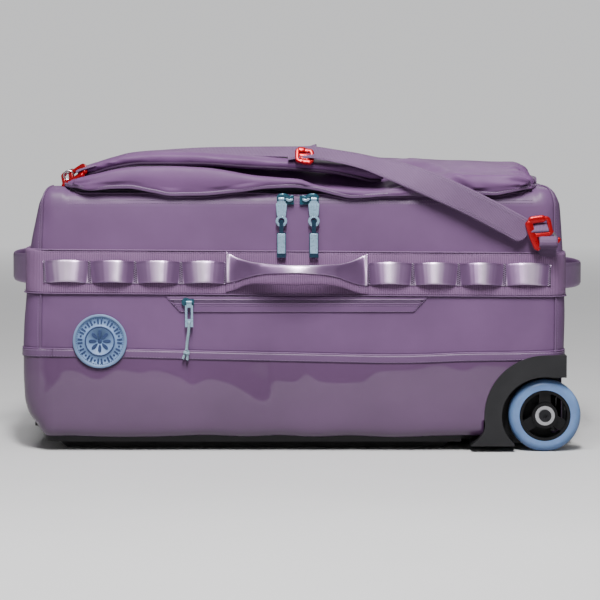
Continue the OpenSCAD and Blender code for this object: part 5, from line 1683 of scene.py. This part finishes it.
loop_a = dense(fillet([ap(-8.2, -7.2), ap(8.2, -7.2), ap(8.2, 6.6), ap(-8.2, 6.6)], 2.6, closed=True), closed=True)
adj = frame_bars("strap_ladder", [(loop_a, 2.6, 2.6, True, an_), (dense([ap(-7.6, -0.4), ap(7.6, -0.4)]), 2.6, 2.8, False, an_), (dense([ap(-8.4, -7.2), ap(1.5, -7.8)]), 3.3, 3.2, False, an_), (dense([ap(-6.0, 3.4), ap(6.5, 4.2)]), 2.6, 3.6, False, an_), (dense([ap(-4.0, 7.2), ap(8.6, 7.0)]), 3.1, 3.0, False, an_)], M["red"])
put(adj, "lid", "red_anodised", "strap_adjuster")

HX, HY, HZ = 257.0, YN - 15.0, 266.0


def hr(x, y, z=0.0):
    return np.array([HX + x, HY - z, HZ + y])


win = dense(fillet([hr(3.0, -2.4), hr(24.4, 0.0), hr(28.2, -17.8), hr(8.6, -20.4)], 3.6, closed=True), closed=True)
spine = dense(fillet([hr(1.6, -3.2), hr(6.4, -18.5), hr(14.0, -36.2)], 5.0))
top = dense(fillet([hr(1.6, -3.6), hr(10, -2.0), hr(22.0, -0.6)], 3.0))
arm = dense(fillet([hr(12.0, -30.2), hr(36, -26.6), hr(37.2, -21.8)], 2.5))
mid_ = dense([hr(8.0, -19.9), hr(29.2, -17.0)])
NR = (0, -1, 0)
hook = frame_bars("hook_wheel_end", [(win, 2.5, 2.5, True, NR), (spine, 4.4, 2.8, False, NR), (top, 4.2, 2.8, False, NR), (arm, 2.2, 2.3, False, NR), (mid_, 2.4, 2.4, False, NR), (dense([hr(26, -15), hr(30.6, -15.6)]), 2.1, 2.1, False, NR)], M["red"])
put(hook, "lid", "red_anodised", "hook_right")
cad("gate_right", M["steel"], 0.3)

c30, s30 = math.cos(math.radians(30)), math.sin(math.radians(30))


HO = np.array([-237.6, -154.0, 316.6])
hy_ = np.array([math.cos(math.radians(38)), 0, math.sin(math.radians(38))])
hx_ = np.array([-math.sin(math.radians(38)) * 0.40, 0.9165, math.cos(math.radians(38)) * 0.40])
hn_ = np.cross(hx_, hy_)


def hl(x, y, z=0.0):
    """Left hook's plane: x runs away from the viewer, y up along the slope."""
    return HO + hx_ * x + hy_ * y + hn_ * z


NL = tuple(hl(0, 0, -1) - hl(0, 0, 0))
winl = dense(fillet([hl(3.0, -2.4), hl(22.8, 0.2), hl(26.2, -17.6), hl(8.2, -20.2)], 3.6, closed=True), closed=True)
spl = dense(fillet([hl(1.6, -3.2), hl(5.5, -17.5), hl(11.8, -32.6)], 5.0))
topl = dense(fillet([hl(1.6, -3.6), hl(10, -2.0), hl(22.0, -0.6)], 3.0))
arml = dense(fillet([hl(10.5, -29.5), hl(36, -26.6), hl(37.2, -21.8)], 2.5))
midl = dense([hl(7.5, -19.8), hl(27.4, -16.6)])
hookl = frame_bars("hook_handle_end", [(winl, 2.5, 2.5, True, NL), (spl, 4.2, 2.8, False, NL), (topl, 4.2, 2.8, False, NL), (arml, 2.2, 2.3, False, NL), (midl, 2.4, 2.4, False, NL), (dense([hl(26, -15), hl(30.6, -15.6)]), 2.1, 2.1, False, NL)], M["red"])
put(hookl, "lid", "red_anodised", "hook_left")
gw = [(dense([hl(30.4, -12.4, s_), hl(33.8, -16.8, s_), hl(36.9, -22.2, s_)]), 0.75, 0.75, False, NL) for s_ in (-1.3, 1.3)]
put(frame_bars("gate_wire_left", gw, M["steel"]), "gate_left", "bearing_steel", "gate_left")
# webbing from the left hook's window up to the pad
stD = [((-250.5, -142.5, 316.6), (-.5, -.05, .86)), ((-244, -142, 319.6), (-.45, -.08, .9)), ((-236, -141, 322.6), (-.35, -.12, .95)), ((-226, -139, 325.4), (-.3, -.16, 1)), ((-216, -136, 327.6), (-.3, -.18, 1)), ((-206, -133, 328.8), (-.2, -.18, 1))]
wD, cD, nD = ribbon("webbing_short", stD, 24, 2.2, M["coarse"], n_per=8)
put(wD, "lid", "strap_fabric")

# wheel-end anchor: webbing sewn to the band and looped round the hook's arm
yb = -173.4
ra = [(0, yb + 2.2, 221.5), (0, yb + 0.9, 227.0), (0, yb - 1.4, 230.6), (0, yb - 5.4, 231.6), (0, yb - 12.0, 232.2), (0, yb - 16.6, 234.8), (0, yb - 17.8, 239.4), (0, yb - 15.6, 243.6), (0, yb - 11.2, 244.9), (0, yb - 7.4, 243.0), (0, yb - 5.6, 238.6), (0, yb - 4.0, 235.4), (0, yb - 1.2, 231.8), (0, yb + 1.6, 228.0)]
rc = spline([np.array(p) + np.array([281.5, 0, 0]) for p in ra], 7)
tt = np.gradient(rc, axis=0)
rn = np.cross(np.array([1.0, 0, 0]), tt)
rn /= np.linalg.norm(rn, axis=1)[:, None]
anr = strap("anchor_webbing", rc, rn, 20.5, 1.3, M["coarse"], rows=8, edge=0.6)
put(anr, "root", "strap_fabric", "strap_anchor_right")
# handle-end anchor: a small ring on a sewn tab
lc = np.array([-259.9, YN + 36.2, 312.5])
el = []
for k in range(40):
    a = 2 * math.pi * k / 40
    x_, z_ = 5.6 * math.cos(a), 4.8 * math.sin(a)
    el.append(lc + np.array([x_ * c30 - z_ * s30, 0, x_ * s30 + z_ * c30]))
anl = tube("anchor_ring", np.array(el), 1.15, M["steel"], seg=12, up=(0, 1, 0), closed=True, rz=1.3)
put(anl, "lid", "bearing_steel", "strap_anchor_left")
tabp = spline([(-262.0, YN + 36.2, 307.2), (-258.2, YN + 36.2, 306.2), (-252.6, YN + 36.2, 306.0), (-244, YN + 36.2, 310.5), (-236, YN + 36.2, 314.2)], 8)
put(strap("anchor_tab", tabp, (-.45, 0, .9), 12, 1.6, M["coarse"], rows=6), "lid", "strap_fabric")

# ------------------------------------------------------------------ zip pulls
for nm in ("left", "right"):
    cad("slider_" + nm, M["teal"], 0.5)
    cad("pull_tab_" + nm, M["pull"], 0.3)
    cad("pull_bar_" + nm, M["navy"], 0.3)
    px, sg = (-17.5, 1) if nm == "left" else (19.0, -1)
    pz, py = 287.0, YN - 6.2
    # fluted tab, wider at the top
    ribs = []
    for f_ in (-1, -0.34, 0.34, 1):
        ribs.append((dense([(px + 4.8 * f_, py - 0.9, pz - 4.6), (px + 4.6 * f_, py - 1.2, pz - 8.0), (px + 3.5 * f_, py - 1.25, pz - 20.0)]), 1.5, 1.1, False, (0, -1, 0)))
    put(frame_bars("pull_ribs_" + nm, ribs, M["pull"]), "tab_" + nm, "pull_blue")
    rg = [np.array([px + 4.9 * math.cos(a), py - 1.0, pz - 25 + 4.9 * math.sin(a)]) for a in np.linspace(math.radians(-44), math.radians(224), 32)]
    put(frame_bars("pull_ring_" + nm, [(np.array(rg), 1.3, 0.8, False, (0, -1, 0))], M["pull"]), "tab_" + nm, "pull_blue")
    # wavy bridge along the top of the slider
    wv = spline([(px - sg * 4.6, py - 0.4, pz + 2.6), (px, py - 1.0, pz + 4.0), (px + sg * 5.0, py - 0.6, pz + 3.6), (px + sg * 9.5, py + 0.4, pz + 1.2), (px + sg * 13.6, py + 0.6, pz + 3.4)], 8)
    put(frame_bars("slider_bridge_" + nm, [(dense(wv), 2.1, 1.5, False, (0, -1, 0))], M["teal"]), "zip_" + nm, "zip_teal")
    wv2 = spline([(px + sg * 4.5, py + 0.2, pz + 0.6), (px + sg * 8.5, py - 0.2, pz - 1.8), (px + sg * 13.0, py + 0.3, pz - 0.4)], 8)
    put(frame_bars("slider_lip_" + nm, [(dense(wv2), 1.5, 1.2, False, (0, -1, 0))], M["pull"]), "zip_" + nm, "zip_teal")
    # light face set into the dark bar, with a plain rim
    MX = Matrix.Translation((px * MM, (py - 2.5) * MM, (pz - 50.2) * MM)) @ Matrix.Rotation(math.radians(90), 4, "X")
    put(plate("bar_face_" + nm, rounded_rect(8.8, 22.6, 0.9), 0.0, 0.75, M["pull"], 0.25, 2, M=MX), "bar_" + nm, "pull_blue")
    fr = dense(fillet([(px - 3.5, py - 3.3, pz - 40.4), (px + 3.5, py - 3.3, pz - 40.4), (px + 3.5, py - 3.3, pz - 60.2), (px - 3.5, py - 3.3, pz - 60.2)], 1.0, closed=True), closed=True)
    put(frame_bars("bar_rim_" + nm, [(fr, 0.38, 0.22, True, (0, -1, 0))], M["pull"]), "bar_" + nm, "pull_blue")

# ------------------------------------------------------------------ hard parts
for n_, m_, s_, b_ in (("wheel_housing_near", "black", "black_plastic", 1.3), ("wheel_housing_far", "black", "black_plastic", 1.3), ("base_tray", "black", "black_plastic", 1.0), ("skid_rails", "black", "black_plastic", 1.0),
                       ("kick_plate", "black", "black_plastic", 0.9), ("back_board", "lining", "lining", 0), ("outer_tubes", "alu", "aluminium_tube", 0), ("outer_bushes", "black", "black_plastic", 0.2), ("tube_anchor", "black", "black_plastic", 0.8),
                       ("handle_cup", "black", "black_plastic", 1.0), ("mid_tubes", "alu", "aluminium_tube", 0), ("inner_tubes", "alu", "aluminium_tube", 0), ("grip_top", "black", "black_plastic", 1.8), ("grip_bottom", "black", "black_plastic", 1.8),
                       ("release_button", "button", "button_grey", 0.8), ("release_rods", "steel", "black_steel", 0), ("bearing_inner_races", "steel", "bearing_steel", 0.25), ("axle_bolts", "bolt", "black_steel", 0.5), ("axle_nuts", "steel", "black_steel", 0.5)):
    cad(n_, M[m_], b_)
for sd in ("near", "far"):
    cad("tyre_" + sd, M["tyre"], 0)
    cad("hub_" + sd, M["hub"], 0.7)
    cad("bearing_outer_" + sd, M["steel"], 0.3)
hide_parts("liner")


# the band and everything sewn to it sits a touch lower at the wheel end
cad_names = {o.name for o in frame["nodes"].values()}
for ob in list(bpy.data.objects):
    if ob.type == "MESH" and ob.name.startswith(("band_", "daisy_", "bartacks", "grab_", "end_loop")) and ob.name not in cad_names:
        for v_ in ob.data.vertices:
            v_.co.z -= 0.0066 * v_.co.x

# ------------------------------------------------------------------ camera, light, stage
def camera():
    tgt = Vector((0.0034, -0.175, 0.173))
    el = math.radians(4.0)
    d = 3.0
    loc = tgt + Vector((0, -math.cos(el), math.sin(el))) * d
    cd = bpy.data.cameras.new("cam")
    cd.lens = 159.8
    cd.sensor_width = 36
    co = bpy.data.objects.new("cam", cd)
    sc.collection.objects.link(co)
    co.location = loc
    co.rotation_euler = (tgt - loc).to_track_quat("-Z", "Y").to_euler()
    sc.camera = co


def area(name, loc, target, size, size_y, power, color=(1, 1, 1)):
    l = bpy.data.lights.new(name, "AREA")
    l.shape = "RECTANGLE"
    l.size, l.size_y = size, size_y
    l.energy = power
    l.color = color
    ob = bpy.data.objects.new(name, l)
    sc.collection.objects.link(ob)
    ob.location = loc
    ob.rotation_euler = (Vector(target) - Vector(loc)).to_track_quat("-Z", "Y").to_euler()
    return ob


camera()
area("key_top", (-0.25, -1.35, 2.30), (0.02, -0.05, 0.15), 1.2, 1.0, 36)
area("key_strip", (0.06, -1.75, 2.05), (0.02, -0.05, 0.17), 0.20, 1.2, 60)
area("front", (-0.9, -3.2, 0.9), (0, 0, 0.18), 1.2, 0.8, 3)
area("left_fill", (-2.6, -0.9, 1.0), (0, 0, 0.15), 0.8, 1.2, 4.5)
area("right_fill", (2.6, -0.9, 1.1), (0, 0, 0.15), 0.8, 1.2, 4.5)
area("back_top", (0.4, 2.0, 1.9), (0, 0, 0.25), 1.6, 0.8, 12)
w = bpy.data.worlds.new("studio")
sc.world = w
w.use_nodes = True
w.node_tree.nodes["Background"].inputs["Color"].default_value = (0.86, 0.86, 0.88, 1)
w.node_tree.nodes["Background"].inputs["Strength"].default_value = 0.09
bg2 = w.node_tree.nodes.new("ShaderNodeBackground")
bg2.inputs["Color"].default_value = (0.80, 0.80, 0.81, 1)
bg2.inputs["Strength"].default_value = 1.0
mixw = w.node_tree.nodes.new("ShaderNodeMixShader")
lpw = w.node_tree.nodes.new("ShaderNodeLightPath")
w.node_tree.links.new(lpw.outputs["Is Camera Ray"], mixw.inputs["Fac"])
w.node_tree.links.new(w.node_tree.nodes["Background"].outputs["Background"], mixw.inputs[1])
w.node_tree.links.new(bg2.outputs["Background"], mixw.inputs[2])
w.node_tree.links.new(mixw.outputs["Shader"], w.node_tree.nodes["World Output"].inputs["Surface"])
fl = bpy.data.meshes.new("floor")
s_ = 6.0
fl.from_pydata([(-s_, -s_, 0), (s_, -s_, 0), (s_, s_, 0), (-s_, s_, 0)], [], [(0, 1, 2, 3)])
flo = bpy.data.objects.new("floor", fl)
sc.collection.objects.link(flo)
kf = NT("m_floor")
vf = kf.coord()
pale = kf.ramp(kf.noise(vf, 3.0, 3), [(0.3, (0.84, 0.835, 0.84)), (0.7, (0.87, 0.865, 0.87))])
lpf = kf.n("ShaderNodeLightPath")
cam_r, glo_r = lpf.outputs["Is Camera Ray"], lpf.outputs["Is Glossy Ray"]
seen = kf.math("MAXIMUM", cam_r, glo_r)
kf.link(kf.mix(cam_r, kf.mix(glo_r, (0.26, 0.255, 0.26), (0.46, 0.45, 0.46)), pale), kf.b.inputs["Base Color"])
kf.set(Roughness=0.75, Specular_IOR_Level=0.2)
# further off, the floor runs into the pale backdrop
ln_f = kf.n("ShaderNodeVectorMath", operation="LENGTH")
kf.link(vf, ln_f.inputs[0])
far = kf.math("MULTIPLY", kf.maprange(ln_f.outputs["Value"], 0.9, 4.6, 0.0, 1.0), seen)
em = kf.n("ShaderNodeEmission")
em.inputs["Color"].default_value = (0.80, 0.80, 0.81, 1)
kf.link(kf.maprange(cam_r, 0.0, 1.0, 0.42, 1.0), em.inputs["Strength"])
mxf = kf.n("ShaderNodeMixShader")
kf.link(far, mxf.inputs[0])
kf.link(kf.b.outputs["BSDF"], mxf.inputs[1])
kf.link(em.outputs["Emission"], mxf.inputs[2])
outf = [n for n in kf.m.node_tree.nodes if n.type == "OUTPUT_MATERIAL"][0]
kf.link(mxf.outputs["Shader"], outf.inputs["Surface"])
fl.materials.append(kf.m)
